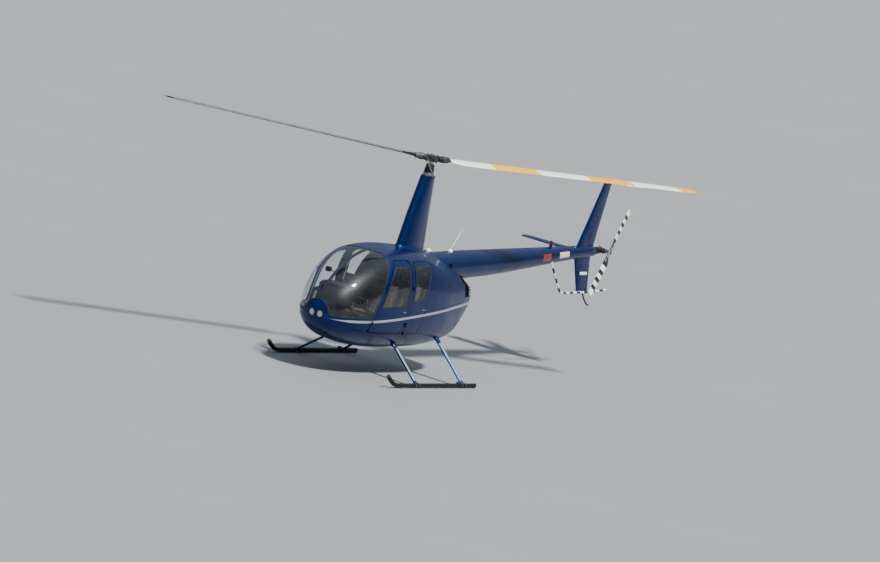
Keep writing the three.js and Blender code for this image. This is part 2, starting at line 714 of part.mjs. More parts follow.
// Mast fairing: an upright streamlined shell; each section has a z, a front x, a rear x and a half width
const FAIRING = [
  { z: 1780, front: -455, rear: 390, half: 118 },
  { z: 1900, front: -440, rear: 355, half: 112 },
  { z: 2400, front: -330, rear: 280, half: 98 },
  { z: 2955, front: -160, rear: 205, half: 84 },
  { z: 2990, front: -145, rear: 190, half: 76 },
];
const FAIRING_TOP = FAIRING[FAIRING.length - 1].z;
function fairingRing(section, depth, lift = 0) {
  const NOSE_SHARE = 0.36; // of the chord, ahead of the greatest width
  const front = section.front + depth;
  const rear = section.rear - depth * 1.6;
  const widest = front + (rear - front) * NOSE_SHARE;
  const half = section.half - depth;
  const ring = [];
  const sides = 16;
  for (let k = 0; k < sides; k += 1) {
    const angle = (2 * Math.PI * k) / sides;
    const c = Math.cos(angle);
    const reach = c < 0 ? widest - front : rear - widest;
    const x = widest + reach * c;
    const fullness = c < 0 ? 1 : 1 - 0.35 * c ** 2;
    ring.push([x, half * Math.sin(angle) * fullness, section.z + lift]);
  }
  return ring;
}

// Bore for the mast through the pieces around it, with a clearance all round
const BORE_HALF_LENGTH = 500;
function mastBore(clearance) {
  const [low, high] = [FAIRING_TOP - BORE_HALF_LENGTH, FAIRING_TOP + BORE_HALF_LENGTH];
  return rod([0, 0, low], [0, 0, high], MAST_RADIUS + clearance, 20);
}

function mastFairing() {
  const outer = skin(FAIRING.map((section) => fairingRing(section, 0)));
  const below = FAIRING.slice(0, -1).map((section) => fairingRing(section, 10));
  const inner = skin([...below, fairingRing(FAIRING[FAIRING.length - 2], 10, 10)]);
  return cut(outer, inner, podClear, mastBore(HINGE_CLEARANCE));
}

// Fixed swashplate ring on top of the fairing
const SWASH_Z = FAIRING_TOP + 17;
const SWASH_ARM_RADIUS = 8;
function lowerSwashplate() {
  const plate = rod([0, 0, FAIRING_TOP + GAP], [0, 0, SWASH_Z], 92, 24);
  const armZ = SWASH_Z - SWASH_ARM_RADIUS;
  const arm = rod([0, 60, armZ], [60, 118, armZ], SWASH_ARM_RADIUS, 8);
  return cut(joined(plate, arm), mastBore(HINGE_CLEARANCE));
}

// Tail cone: a round tapered tube; each station has an x, a centre z and a radius
const CONE = [
  { x: 640, z: 1583, radius: 224 },
  { x: 930, z: 1600, radius: 222 },
  { x: 1550, z: 1634, radius: 214 },
  { x: 2800, z: 1700, radius: 186 },
  { x: 4200, z: 1796, radius: 134 },
  { x: 5250, z: 1870, radius: 94 },
  { x: 5560, z: 1885, radius: 86 },
  { x: 5690, z: 1884, radius: 76 },
];
const CONE_END = CONE[CONE.length - 1];
function coneRing({ x, z, radius }, extra) {
  const ring = [];
  const sides = 20;
  for (let k = 0; k < sides; k += 1) {
    const angle = (2 * Math.PI * (k + 0.5)) / sides;
    ring.push([x, (radius + extra) * Math.cos(angle), z + (radius + extra) * Math.sin(angle)]);
  }
  return ring;
}

function tailCone(extra) {
  return skin(CONE.map((station) => coneRing(station, extra)));
}

function tailConeShell() {
  const CONE_WALL = 10;
  const hollow = CONE.slice(0, -1).map((station) => coneRing(station, -CONE_WALL));
  hollow.unshift(coneRing({ ...CONE[0], x: CONE[0].x - 20 }, -CONE_WALL));
  return cut(tailCone(0), skin(hollow));
}

// Flying surface between two streamlined sections; each section has a leading edge, a chord
// along +X and a thickness, and the span is along Z or Y
function airfoilRing({ x, y, z, chord, thickness }, spanAxis) {
  const SHARES = [[0, 0], [0.03, 0.45], [0.12, 0.82], [0.3, 1], [0.6, 0.72], [0.98, 0.08]];
  const upper = SHARES.map(([along, thick]) => [along * chord, (thick * thickness) / 2]);
  const lower = upper.slice(1).reverse().map(([along, thick]) => [along, -thick]);
  return [...upper, ...lower].map(([along, thick]) => (
    spanAxis === 'z' ? [x + along, y + thick, z] : [x + along, y, z + thick]));
}

function upperFin() {
  const root = { x: 5125, y: 0, z: 1880, chord: 550, thickness: 60 };
  const foot = { x: 5165, y: 0, z: 1985, chord: 530, thickness: 58 };
  const tip = { x: 5570, y: 0, z: 2935, chord: 250, thickness: 36 };
  const blade = skin([root, foot, tip].map((section) => airfoilRing(section, 'z')));
  const cap = box([5558, -30, 2935], [5828, 30, 2950]);
  return cut(joined(blade, cap), tailCone(GAP));
}

function lowerFin() {
  const root = { x: 5085, y: 0, z: 1900, chord: 595, thickness: 52 };
  const foot = { x: 5165, y: 0, z: 1770, chord: 515, thickness: 48 };
  const tip = { x: 5450, y: 0, z: 1268, chord: 370, thickness: 34 };
  return cut(skin([root, foot, tip].map((section) => airfoilRing(section, 'z'))), tailCone(GAP));
}

function stabilizer() {
  const z = 1885;
  const root = { x: 5060, y: 10, z, chord: 370, thickness: 46 };
  const tip = { x: 5115, y: 955, z, chord: 330, thickness: 34 };
  return cut(skin([root, tip].map((section) => airfoilRing(section, 'y'))), tailCone(GAP));
}

function tailSkid() {
  const path = [[5640, 0, 1250], [5690, 0, 1215], [5790, 0, 1120], [5880, 0, 1060], [5965, 0, 1032]];
  return tube(path, 13, 8, 8);
}

const GUARD_RADIUS = 16;
function tailGuard() {
  const path = [
    [4290, -100, 1722], [4410, -98, 1590], [4640, -90, 1385], [4780, -80, 1272], [4900, -70, 1238],
    [5200, -60, 1240], [5500, -56, 1247], [5900, -62, 1268], [6250, -80, 1300],
  ];
  const strap = box([5520, -60, 1232], [5700, 18, 1268 - GAP]); // under the lower fin
  return cut(joined(tube(path, GUARD_RADIUS, 8, 18), strap, tailSkid()), tailCone(GAP));
}

function tailGearbox() {
  const hub = TAIL_HUB;
  const boss = rod([CONE_END.x - 30, 0, CONE_END.z], [5985, 0, hub.z], 66, 20, 46);
  const ahead = box([CONE_END.x - 100, -200, CONE_END.z - 200], [CONE_END.x + GAP, 200, CONE_END.z + 200]);
  const body = cut(boss, ahead);
  const output = rod([hub.x, 0, hub.z], [hub.x, hub.y + 60, hub.z], 42, 16, 34);
  const bore = rod([hub.x, -10, hub.z], [hub.x, hub.y - 20, hub.z], TAIL_SHAFT_RADIUS + HINGE_CLEARANCE, 16);
  return cut(joined(body, output), bore);
}

const BEACON = { x: 4330, foot: 1904, seat: 1975, top: 2035 };
function beacon() {
  const { x, foot, seat, top } = BEACON;
  return joined(
    cut(rod([x, 0, foot], [x, 0, seat], 26, 20), tailCone(GAP)),
    rod([x, 0, seat], [x, 0, top], 34, 20, 29),
  );
}

function whipAntenna() {
  const x = 1216;
  const mast = joined(
    rod([x, 0, 1800], [x + 4, 0, 1872], 34, 12, 20),
    rod([x, 0, 1860], [1510, 0, 2268], 4, 8, 3),
  );
  return cut(mast, tailCone(GAP));
}

// Landing gear
const SKID_Z = SHOE_THICKNESS + SKID_RADIUS;
const SHOE_HALF = 22;
const STRUTS = [
  { name: 'front', foot: [-839, SKID_Y, SKID_Z + 10], top: [-715, 400, 565] },
  { name: 'rear', foot: [577, SKID_Y, SKID_Z + 10], top: [566, 370, 680] },
];
function skidTube(side, extra) {
  const y = side * SKID_Y;
  const path = [
    [-1740, y, SKID_Z + 140], [-1660, y, SKID_Z + 86], [-1540, y, SKID_Z + 28],
    [-1420, y, SKID_Z + 3], [-1300, y, SKID_Z], [-600, y, SKID_Z], [300, y, SKID_Z], [960, y, SKID_Z],
  ];
  return tube(path, SKID_RADIUS + extra, 10, 14);
}

function skid(side) {
  const y = side * SKID_Y;
  const shoe = box([-1330, y - SHOE_HALF, 0], [950, y + SHOE_HALF, SKID_Z]);
  return joined(skidTube(side, 0), shoe);
}

const STRUT_CHORD = 100;
const STRUT_THICKNESS = 36;
const STRUT_LEAD = 0.35; // share of the chord ahead of the strut's line
function strut({ foot, top }, side) {
  const run = new THREE.Vector2(foot[1] - top[1], foot[2] - top[2]).normalize();
  const ring = ([x, y, z]) => {
    const start = x - STRUT_LEAD * STRUT_CHORD;
    const section = { x: start, y: 0, z: 0, chord: STRUT_CHORD, thickness: STRUT_THICKNESS };
    return airfoilRing(section, 'y').map(([along, , thick]) => (
      [along, side * (y - run.y * thick), z + run.x * thick]));
  };
  const post = skin([ring(foot), ring(top)]);
  return cut(post, skidTube(side, GAP), podClear);
}

// Rotors
const BLADE_LEAD = 0.27; // share of the chord ahead of the blade's axis
function bladeSections(chord, thickness, stations) {
  return stations.map(({ r, share, pitch, thick }) => {
    const width = chord * share;
    const section = { x: -BLADE_LEAD * width, y: 0, z: 0, chord: width, thickness: thickness * thick };
    const angle = THREE.MathUtils.degToRad(pitch);
    const [cos, sin] = [Math.cos(angle), Math.sin(angle)];
    return airfoilRing(section, 'y').map(([along, , up]) => (
      [r, -along * cos - up * sin, -along * sin + up * cos]));
  });
}

// Blade root to tip: radius, share of the chord, pitch in degrees and share of the thickness
const BLADE = [
  { r: 330, share: 0.42, pitch: 9.5, thick: 1.7 },
  { r: 520, share: 1, pitch: 9, thick: 1 },
  { r: 2800, share: 1, pitch: 6, thick: 1 },
  { r: 4700, share: 1, pitch: 4, thick: 0.95 },
  { r: ROTOR_RADIUS, share: 0.82, pitch: 4, thick: 0.7 },
];
const BLADE_THICKNESS = 32;
const ROTOR_BLADES = [
  { name: 'aft', turn: 0, lift: CONING + TEETER },
  { name: 'forward', turn: Math.PI, lift: CONING - TEETER },
];
function rotorPlaced(solid, blade) {
  const geometry = toGeometry(solid);
  geometry.rotateY(-blade.lift);
  geometry.rotateZ(ROTOR_AZIMUTH + blade.turn);
  geometry.translate(0, 0, HUB_Z);
  return toSolid(geometry);
}

function mainBlade(blade) {
  return rotorPlaced(skin(bladeSections(ROTOR_CHORD, BLADE_THICKNESS, BLADE)), blade);
}

function bladeGrip(blade) {
  const grip = joined(
    rod([120 + GAP, 0, 0], [190, 0, 0], 46, 16, 46),
    rod([190, 0, 0], [300, 0, 0], 52, 16, 40),
    rod([300, 0, 0], [330 - GAP, 0, 0], 40, 16, 34),
    box([170, 40, -12], [230, 150, 12]),
  );
  return rotorPlaced(grip, blade);
}

function rotorHub() {
  const block = joined(
    box([-118, -40, -34], [118, 40, 34]),
    box([-60, -56, -48], [60, 56, 48]),
  );
  const geometry = toGeometry(block);
  geometry.rotateY(-TEETER);
  geometry.rotateZ(ROTOR_AZIMUTH);
  geometry.translate(0, 0, HUB_Z);
  return cut(toSolid(geometry), mastBore(GAP));
}

const MAST_INSIDE = 155; // length of the mast inside the fairing
function rotorMast() {
  return joined(
    rod([0, 0, FAIRING_TOP - MAST_INSIDE], [0, 0, HUB_Z + 58], MAST_RADIUS, 20),
    rod([0, 0, HUB_Z + 52], [0, 0, HUB_Z + 66], 44, 20),
  );
}

const HORN_RADIUS = 200; // from the mast to the pitch horns' ends
// Rotating swashplate ring with the two pitch links
function upperSwashplate() {
  const ring = rod([0, 0, SWASH_Z + 1], [0, 0, SWASH_Z + 22], 78, 24);
  const links = ROTOR_BLADES.map(({ turn, lift }) => {
    const angle = ROTOR_AZIMUTH + turn;
    const radial = new THREE.Vector3(Math.cos(angle), Math.sin(angle), 0);
    const side = new THREE.Vector3(-Math.sin(angle), Math.cos(angle), 0);
    const low = side.clone().multiplyScalar(112).setZ(SWASH_Z + 11);
    const high = radial.clone().multiplyScalar(HORN_RADIUS).addScaledVector(side, 132);
    high.setZ(HUB_Z - 13 + HORN_RADIUS * Math.sin(lift));
    const arm = rod([0, 0, SWASH_Z + 11], low.toArray(), 10, 8);
    return joined(arm, rod(low.toArray(), high.toArray(), 8, 8));
  });
  const ringed = joined(ring, ...links);
  return cut(ringed, mastBore(GAP), ...ROTOR_BLADES.map((blade) => gripClear(blade)));
}

function gripClear(blade) {
  return rotorPlaced(box([165, 35, -12 - GAP], [240, 160, 60]), blade);
}

function tailPlaced(solid, turn) {
  const geometry = toGeometry(solid);
  geometry.rotateX(-Math.PI / 2);
  geometry.rotateY(-TAIL_BLADE_ANGLE - turn);
  geometry.translate(TAIL_HUB.x, TAIL_HUB.y, TAIL_HUB.z);
  return toSolid(geometry);
}

const TAIL_BLADE = [
  { r: 95, share: 0.55, pitch: 12, thick: 1.6 },
  { r: 170, share: 1, pitch: 11, thick: 1 },
  { r: TAIL_ROTOR_RADIUS, share: 0.95, pitch: 6, thick: 0.8 },
];
function tailBlade(turn) {
  return tailPlaced(skin(bladeSections(TAIL_ROTOR_CHORD, 17, TAIL_BLADE)), turn);
}

function tailHub() {
  const bar = tailPlaced(box([-95 + GAP, -26, -16], [95 - GAP, 26, 16]), 0);
  const { x, y, z } = TAIL_HUB;
  const shaft = rod([x, y + 150, z], [x, y - 34, z], TAIL_SHAFT_RADIUS, 16);
  return joined(bar, shaft, rod([x, y + 30, z], [x, y - 26, z], 34, 16));
}

// Materials
function paint(color, roughness, metalness) {
  return new THREE.MeshStandardMaterial({ color, roughness, metalness });
}
const BLUE = () => paint(0x0c1c4a, 0.25, 0.4);
const GLASS = () => new THREE.MeshStandardMaterial({
  color: 0x9fb0ba, roughness: 0.05, transparent: true, opacity: 0.35,
});
const BLACK = () => paint(0x15161a, 0.5, 0.2);
const METAL = () => paint(0x8f9296, 0.35, 0.9);
const LEATHER = () => paint(0x6b4a34, 0.6, 0);
const TRIM = () => paint(0x2b2c2f, 0.8, 0);
const WHITE = () => paint(0xe8e8e6, 0.35, 0);
const RED = () => paint(0xb01818, 0.2, 0);

const helicopter = new THREE.Group();
helicopter.position.x = MAST_X;
function add(name, solid, material) {
  const mesh = new THREE.Mesh(toGeometry(solid), material);
  mesh.name = name;
  helicopter.add(mesh);
}

const SIDES = [['port', PORT], ['starboard', STARBOARD]];

function addCabin() {
  add('cabin_tub', cabinTub(), BLUE());
  add('cabin_frame', cabinFrame(), BLUE());
  for (const [sideName, side] of SIDES) {
    add(`windshield_${sideName}`, windshieldPane(side), GLASS());
    for (const door of DOORS) {
      add(`${door.name}_door_${sideName}`, doorPanel(door, side), BLUE());
      add(`${door.name}_window_${sideName}`, doorPane(door, side), GLASS());
    }
  }
  add('landing_lamps', landingLamps(), GLASS());
}

function addInterior() {
  add('cabin_floor', cabinFloor(), TRIM());
  add('firewall', firewall(), TRIM());
  for (const seat of SEATS) {
    for (const [sideName, side] of SIDES) {
      add(`${seat.row}_cushion_${sideName}`, seatCushion(seat, side), LEATHER());
      add(`${seat.row}_backrest_${sideName}`, seatBack(seat, side), LEATHER());
    }
  }
  add('instrument_console', instrumentConsole(), TRIM());
  add('cyclic_stick', cyclicStick(), BLACK());
}

function addEngineBay() {
  add('upper_cowl', upperCowl(), BLUE());
  add('belly_cowl', bellyCowl(), BLUE());
  for (const [sideName, side] of SIDES) {
    add(`side_cowl_${sideName}`, cowlSide(side), BLUE());
  }
  add('engine_block', engineBlock(), METAL());
  add('cooling_fan', coolingFan(), METAL());
  add('rear_grille', rearGrille(), BLACK());
  add('exhaust_pipe', exhaustPipe(), METAL());
}

function addTail() {
  add('tail_cone', tailConeShell(), BLUE());
  add('upper_fin', upperFin(), BLUE());
  add('lower_fin', lowerFin(), BLUE());
  add('stabilizer', stabilizer(), BLUE());
  add('tail_guard', tailGuard(), WHITE());
  add('tail_gearbox', tailGearbox(), BLACK());
  add('beacon', beacon(), RED());
  add('whip_antenna', whipAntenna(), WHITE());
}

function addGear() {
  for (const [sideName, side] of SIDES) {
    add(`skid_${sideName}`, skid(side), BLACK());
    for (const leg of STRUTS) {
      add(`${leg.name}_strut_${sideName}`, strut(leg, side), BLUE());
    }
  }
}

function addRotors() {
  add('mast_fairing', mastFairing(), BLUE());
  add('lower_swashplate', lowerSwashplate(), METAL());
  add('rotor_mast', rotorMast(), METAL());
  add('upper_swashplate', upperSwashplate(), METAL());
  add('rotor_hub', rotorHub(), METAL());
  for (const blade of ROTOR_BLADES) {
    add(`blade_grip_${blade.name}`, bladeGrip(blade), METAL());
    add(`main_blade_${blade.name}`, mainBlade(blade), blade.name === 'aft' ? WHITE() : BLACK());
  }
  add('tail_hub', tailHub(), METAL());
  add('tail_blade_upper', tailBlade(0), WHITE());
  add('tail_blade_lower', tailBlade(Math.PI), WHITE());
}

addCabin();
addInterior();
addEngineBay();
addTail();
addGear();
addRotors();

export default helicopter;
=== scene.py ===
"""Looks of a light four-seat helicopter on skids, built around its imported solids."""

import json
import math

import bmesh
import bpy
import numpy as np
from mathutils import Matrix, Vector
from mathutils.bvhtree import BVHTree

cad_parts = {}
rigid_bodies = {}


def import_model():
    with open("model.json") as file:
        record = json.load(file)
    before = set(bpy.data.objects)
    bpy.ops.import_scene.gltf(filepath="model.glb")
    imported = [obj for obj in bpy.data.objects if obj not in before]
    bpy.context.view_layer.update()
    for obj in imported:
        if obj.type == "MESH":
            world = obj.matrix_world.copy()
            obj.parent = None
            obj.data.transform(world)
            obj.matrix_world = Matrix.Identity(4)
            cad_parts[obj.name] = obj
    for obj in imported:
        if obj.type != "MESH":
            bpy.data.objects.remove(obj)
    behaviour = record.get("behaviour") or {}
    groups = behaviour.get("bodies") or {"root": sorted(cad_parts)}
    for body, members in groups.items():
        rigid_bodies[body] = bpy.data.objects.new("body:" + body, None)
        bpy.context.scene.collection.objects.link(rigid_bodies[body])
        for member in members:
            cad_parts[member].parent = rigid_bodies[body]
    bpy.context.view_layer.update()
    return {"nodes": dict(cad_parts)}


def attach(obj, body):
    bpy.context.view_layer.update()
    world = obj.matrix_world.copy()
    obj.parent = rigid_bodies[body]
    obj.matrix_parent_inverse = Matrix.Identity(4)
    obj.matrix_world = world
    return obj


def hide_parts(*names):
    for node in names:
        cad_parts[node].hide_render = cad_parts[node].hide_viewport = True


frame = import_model()

# Sizes and places are in metres. Places are measured from the foot of the rotor mast, with +X aft,
# +Y to starboard and +Z up, and MAST_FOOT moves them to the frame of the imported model.
MAST_FOOT = Vector((-0.818, 0, 0))
PORT, STARBOARD = -1, 1
BOTH = (-1, 1)
UP = Vector((0, 0, 1))
SIDES = (("port", PORT), ("starboard", STARBOARD))

WALL = 0.026
GLASS_DEPTH = 0.004
GLASS_THICKNESS = 0.006
PANE_GAP = 0.0003
DOOR_GAP = 0.009
CABIN_END = -0.040
COWL_END = 1.215  # above LOUVRE_FOOT the cowls end here, and the louvres follow
LOUVRE_FOOT = 1.228
SEAM = 0.0015  # half the gap that shows between two cowls

ROTOR_RADIUS = 5.029
ROTOR_CHORD = 0.254
ROTOR_AZIMUTH = math.radians(-23.07)
CONING = math.radians(2.42)
TEETER = math.radians(-1.53)
HUB_Z = 3.245
TAIL_CHORD = 0.130
TAIL_HUB = Vector((5.886, -0.195, 1.914))
TAIL_ANGLE = math.radians(61)
FAIRING_TOP = 2.990
SWASH_Z = 3.007
SKID_Y = 1.045
SKID_Z = 0.040
SKID_RADIUS = 0.032


# Camera, floor and light
PHOTO_WIDTH = 880
SENSOR_WIDTH = 36.0
FOCAL_PIXELS = 12067.0
CAMERA_DISTANCE = 180.0
CAMERA_AZIMUTH = math.radians(-61.872)
CAMERA_ELEVATION = math.radians(6.540)
CAMERA_ROLL = math.radians(12.970)
CAMERA_TARGET = Vector((1.1127, 0, 1.3771)) + MAST_FOOT
CAMERA_CLIP = (10, 1500)


def add_camera():
    a, e = CAMERA_AZIMUTH, CAMERA_ELEVATION
    back = Vector((math.sin(a) * math.cos(e), -math.cos(a) * math.cos(e), math.sin(e)))
    level = Vector((math.cos(a), math.sin(a), 0))
    upright = back.cross(level)
    right = level * math.cos(CAMERA_ROLL) + upright * math.sin(CAMERA_ROLL)
    up = upright * math.cos(CAMERA_ROLL) - level * math.sin(CAMERA_ROLL)
    data = bpy.data.cameras.new("camera")
    data.sensor_width = SENSOR_WIDTH
    data.lens = FOCAL_PIXELS / PHOTO_WIDTH * SENSOR_WIDTH
    data.clip_start, data.clip_end = CAMERA_CLIP
    camera = bpy.data.objects.new("camera", data)
    bpy.context.scene.collection.objects.link(camera)
    turn = Matrix((right, up, back)).transposed().to_4x4()
    camera.matrix_world = Matrix.Translation(CAMERA_TARGET + back * CAMERA_DISTANCE) @ turn
    bpy.context.scene.camera = camera


SUN_DIRECTION = Vector((0.235, 0.535, -0.86))
SUN_STRENGTH = 7.5
SUN_SPREAD = math.radians(5)


def add_sun():
    data = bpy.data.lights.new("sun", "SUN")
    data.energy, data.angle = SUN_STRENGTH, SUN_SPREAD
    light = bpy.data.objects.new("sun", data)
    light.rotation_euler = SUN_DIRECTION.to_track_quat("-Z", "Y").to_euler()
    bpy.context.scene.collection.objects.link(light)


SKY_BELOW = (0.17, 0.18, 0.20, 1)
SKY_SIDES = (0.30, 0.36, 0.46, 1)
SKY_ABOVE = (0.78, 0.88, 1.0, 1)
SKY_STRENGTH = 0.9


def add_world():
    """Soft studio surroundings: pale overhead, dimmer at the sides and below."""
    world = bpy.data.worlds.new("studio")
    bpy.context.scene.world = world
    world.use_nodes = True
    nodes, links = world.node_tree.nodes, world.node_tree.links
    place = nodes.new("ShaderNodeTexCoord")
    parts = nodes.new("ShaderNodeSeparateXYZ")
    ramp = nodes.new("ShaderNodeValToRGB")
    links.new(place.outputs["Generated"], parts.inputs[0])
    links.new(parts.outputs["Z"], ramp.inputs["Fac"])
    stops = ramp.color_ramp.elements
    stops[0].position, stops[0].color = 0.0, SKY_BELOW
    stops[1].position, stops[1].color = 1.0, SKY_ABOVE
    middle = stops.new(0.30)
    middle.color = SKY_SIDES
    links.new(ramp.outputs["Color"], nodes["Background"].inputs["Color"])
    nodes["Background"].inputs["Strength"].default_value = SKY_STRENGTH


FLOOR_HALF = 300


def add_floor():
    corners = [(x * FLOOR_HALF, y * FLOOR_HALF, 0) for x, y in ((-1, -1), (1, -1), (1, 1), (-1, 1))]
    mesh = bpy.data.meshes.new("floor")
    mesh.from_pydata(corners, [], [(0, 1, 2, 3)])
    floor = bpy.data.objects.new("floor", mesh)
    mesh.materials.append(floor_look())
    bpy.context.scene.collection.objects.link(floor)


# Materials
class Look:
    """A material, with short ways to add nodes to it."""

    def __init__(self, name, color, roughness, **sockets):
        self.material = bpy.data.materials.new(name)
        self.material.use_nodes = True
        self.tree = self.material.node_tree
        self.shader = self.tree.nodes["Principled BSDF"]
        self.material.diffuse_color = (*color, 1)
        self.shader.inputs["Base Color"].default_value = (*color, 1)
        self.shader.inputs["Roughness"].default_value = roughness
        for socket, value in sockets.items():
            self.shader.inputs[socket.replace("_", " ")].default_value = value
        self.place = self.tree.nodes.new("ShaderNodeTexCoord").outputs["Object"]

    def feed(self, socket, value):
        if isinstance(value, bpy.types.NodeSocket):
            self.tree.links.new(value, socket)
        else:
            socket.default_value = value

    def math(self, operation, *values):
        node = self.tree.nodes.new("ShaderNodeMath")
        node.operation = operation
        for socket, value in zip(node.inputs, values):
            self.feed(socket, value)
        return node.outputs[0]

    def stretched(self, factors):
        node = self.tree.nodes.new("ShaderNodeMapping")
        node.inputs["Scale"].default_value = factors
        self.tree.links.new(self.place, node.inputs["Vector"])
        return node.outputs[0]

    def noise(self, scale, detail=3.0, stretch=(1, 1, 1)):
        node = self.tree.nodes.new("ShaderNodeTexNoise")
        node.inputs["Scale"].default_value = scale
        node.inputs["Detail"].default_value = detail
        self.tree.links.new(self.stretched(stretch), node.inputs["Vector"])
        return node.outputs["Fac"]

    def cells(self, scale):
        node = self.tree.nodes.new("ShaderNodeTexVoronoi")
        node.inputs["Scale"].default_value = scale
        self.tree.links.new(self.stretched((1, 1, 1)), node.inputs["Vector"])
        return node.outputs["Distance"]

    def span(self, value, low, high, to_low=0.0, to_high=1.0):
        node = self.tree.nodes.new("ShaderNodeMapRange")
        for socket, number in zip(node.inputs, (value, low, high, to_low, to_high)):
            self.feed(socket, number)
        return node.outputs[0]

    def mix(self, share, first, second):
        node = self.tree.nodes.new("ShaderNodeMix")
        node.data_type = "RGBA"
        self.feed(node.inputs["Factor"], share)
        for socket, value in ((node.inputs[6], first), (node.inputs[7], second)):
            self.feed(socket, value if isinstance(value, bpy.types.NodeSocket) else (*value, 1))
        return node.outputs[2]

    def axis(self, letter):
        node = self.tree.nodes.new("ShaderNodeSeparateXYZ")
        self.tree.links.new(self.place, node.inputs[0])
        return node.outputs[letter]

    def color(self, value):
        self.feed(self.shader.inputs["Base Color"], value)

    def rough(self, value):
        self.feed(self.shader.inputs["Roughness"], value)

    def bump(self, height, depth, strength=1.0):
        node = self.tree.nodes.new("ShaderNodeBump")
        node.inputs["Strength"].default_value = strength
        node.inputs["Distance"].default_value = depth
        self.tree.links.new(height, node.inputs["Height"])
        self.tree.links.new(node.outputs[0], self.shader.inputs["Normal"])


STRIPE_HALF = 0.019
STRIPE_FRONT = -2.40
# Middle of the silver waist stripe: x and z
STRIPE = ((-2.386, 0.833), (-2.203, 0.849), (-1.844, 0.876), (-1.518, 0.892), (-1.241, 0.919),
          (-0.836, 0.954), (-0.399, 0.999), (0.064, 1.041), (0.627, 1.087), (1.568, 1.121))


def floor_look():
    look = Look("floor_pale", (0.22, 0.225, 0.225), 0.8)
    look.color(look.mix(look.noise(0.35, 4), (0.205, 0.21, 0.21), (0.235, 0.24, 0.24)))
    return look.material


def blue_look(name="blue_paint", striped=False):
    """Deep metallic blue under clear coat, with a little dust low down and the silver stripe."""
    look = Look(name, (0.004, 0.018, 0.09), 0.26, Metallic=0.72, Coat_Weight=0.21, Coat_Roughness=0.04,
                Specular_IOR_Level=0.16)
    flakes = look.span(look.noise(900, 1), 0.35, 0.65)
    body = look.mix(flakes, (0.0014, 0.0080, 0.047), (0.0050, 0.028, 0.140))
    dust = look.math("MULTIPLY", look.span(look.axis("Z"), 0.75, 0.35),
                     look.span(look.noise(6, 5), 0.45, 0.75))
    body = look.mix(look.math("MULTIPLY", dust, 0.04), body, (0.06, 0.05, 0.05))
    if striped:
        bend = np.polyfit([x + MAST_FOOT.x for x, z in STRIPE], [z for x, z in STRIPE], 3)
        x = look.axis("X")
        height = float(bend[0])
        for factor in bend[1:]:
            height = look.math("MULTIPLY_ADD", x, height, float(factor))
        off = look.math("ABSOLUTE", look.math("SUBTRACT", look.axis("Z"), height))
        front = STRIPE_FRONT + MAST_FOOT.x
        half = look.span(x, front, front + 0.25, 0.0, STRIPE_HALF)
        inside = look.span(look.math("SUBTRACT", off, half), 0.0006, -0.0006)
        body = look.mix(inside, body, (0.52, 0.53, 0.58))
    look.color(body)
    look.rough(look.span(look.noise(3, 4), 0.3, 0.7, 0.26, 0.40))
    look.bump(look.noise(240, 2), 0.00006, 0.4)
    return look.material


HAZE = 0.018  # share of the light that fine scratches spread
HAZE_ROUGHNESS = 0.42
ACRYLIC_IOR = 1.5


def glass_look(name="glazing", tint=(0.95, 0.97, 0.975)):
    """Thin clear acrylic: what is behind shows through, and the sky mirrors in it."""
    look = Look(name, tint, 0.02)
    nodes, links = look.tree.nodes, look.tree.links
    clear = nodes.new("ShaderNodeBsdfTransparent")
    clear.inputs["Color"].default_value = (*tint, 1)
    mirror = nodes.new("ShaderNodeBsdfGlossy")
    mirror.inputs["Color"].default_value = (0.95, 0.97, 1.0, 1)
    look.feed(mirror.inputs["Roughness"], look.span(look.noise(14, 4), 0.35, 0.8, 0.012, 0.040))
    facing = nodes.new("ShaderNodeFresnel")
    facing.inputs["IOR"].default_value = ACRYLIC_IOR
    behind = nodes.new("ShaderNodeNewGeometry").outputs["Backfacing"]
    near = look.math("SUBTRACT", 1.0, behind)
    blend = nodes.new("ShaderNodeMixShader")
    links.new(look.math("MULTIPLY", facing.outputs[0], near), blend.inputs[0])
    links.new(clear.outputs[0], blend.inputs[1])
    links.new(mirror.outputs[0], blend.inputs[2])
    scratches = nodes.new("ShaderNodeBsdfGlossy")
    scratches.inputs["Roughness"].default_value = HAZE_ROUGHNESS
    spread = nodes.new("ShaderNodeMixShader")
    links.new(look.math("MULTIPLY", near, HAZE), spread.inputs[0])
    links.new(blend.outputs[0], spread.inputs[1])
    links.new(scratches.outputs[0], spread.inputs[2])
    links.new(spread.outputs[0], nodes["Material Output"].inputs["Surface"])
    nodes.remove(look.shader)
    return look.material


def plain_look(name, color, roughness, grain=300, depth=0.0001, spread=0.25, **sockets):
    """A painted or moulded surface with a fine grain and uneven gloss."""
    look = Look(name, color, roughness, **sockets)
    shade = tuple(c * (1 - spread) for c in color)
    lit = tuple(min(1.0, c * (1 + spread)) for c in color)
    look.color(look.mix(look.span(look.noise(5, 6), 0.3, 0.7), shade, lit))
    look.rough(look.span(look.noise(11, 5), 0.3, 0.7, roughness * 0.8, min(1.0, roughness * 1.2)))
    look.bump(look.noise(grain, 3), depth, 0.6)
    return look.material


def worn_black_look():
    """Satin black paint, rubbed to bare metal along the bottom of the skids."""
    look = Look("black_paint", (0.008, 0.008, 0.009), 0.55, Specular_IOR_Level=0.2)
    rub = look.math("MULTIPLY", look.span(look.axis("Z"), 0.016, 0.004),
                    look.span(look.noise(9, 6), 0.35, 0.6))
    look.color(look.mix(rub, (0.008, 0.008, 0.009), (0.28, 0.27, 0.26)))
    look.rough(look.span(look.noise(20, 5), 0.3, 0.7, 0.45, 0.65))
    look.bump(look.noise(160, 3), 0.0001, 0.5)
    return look.material


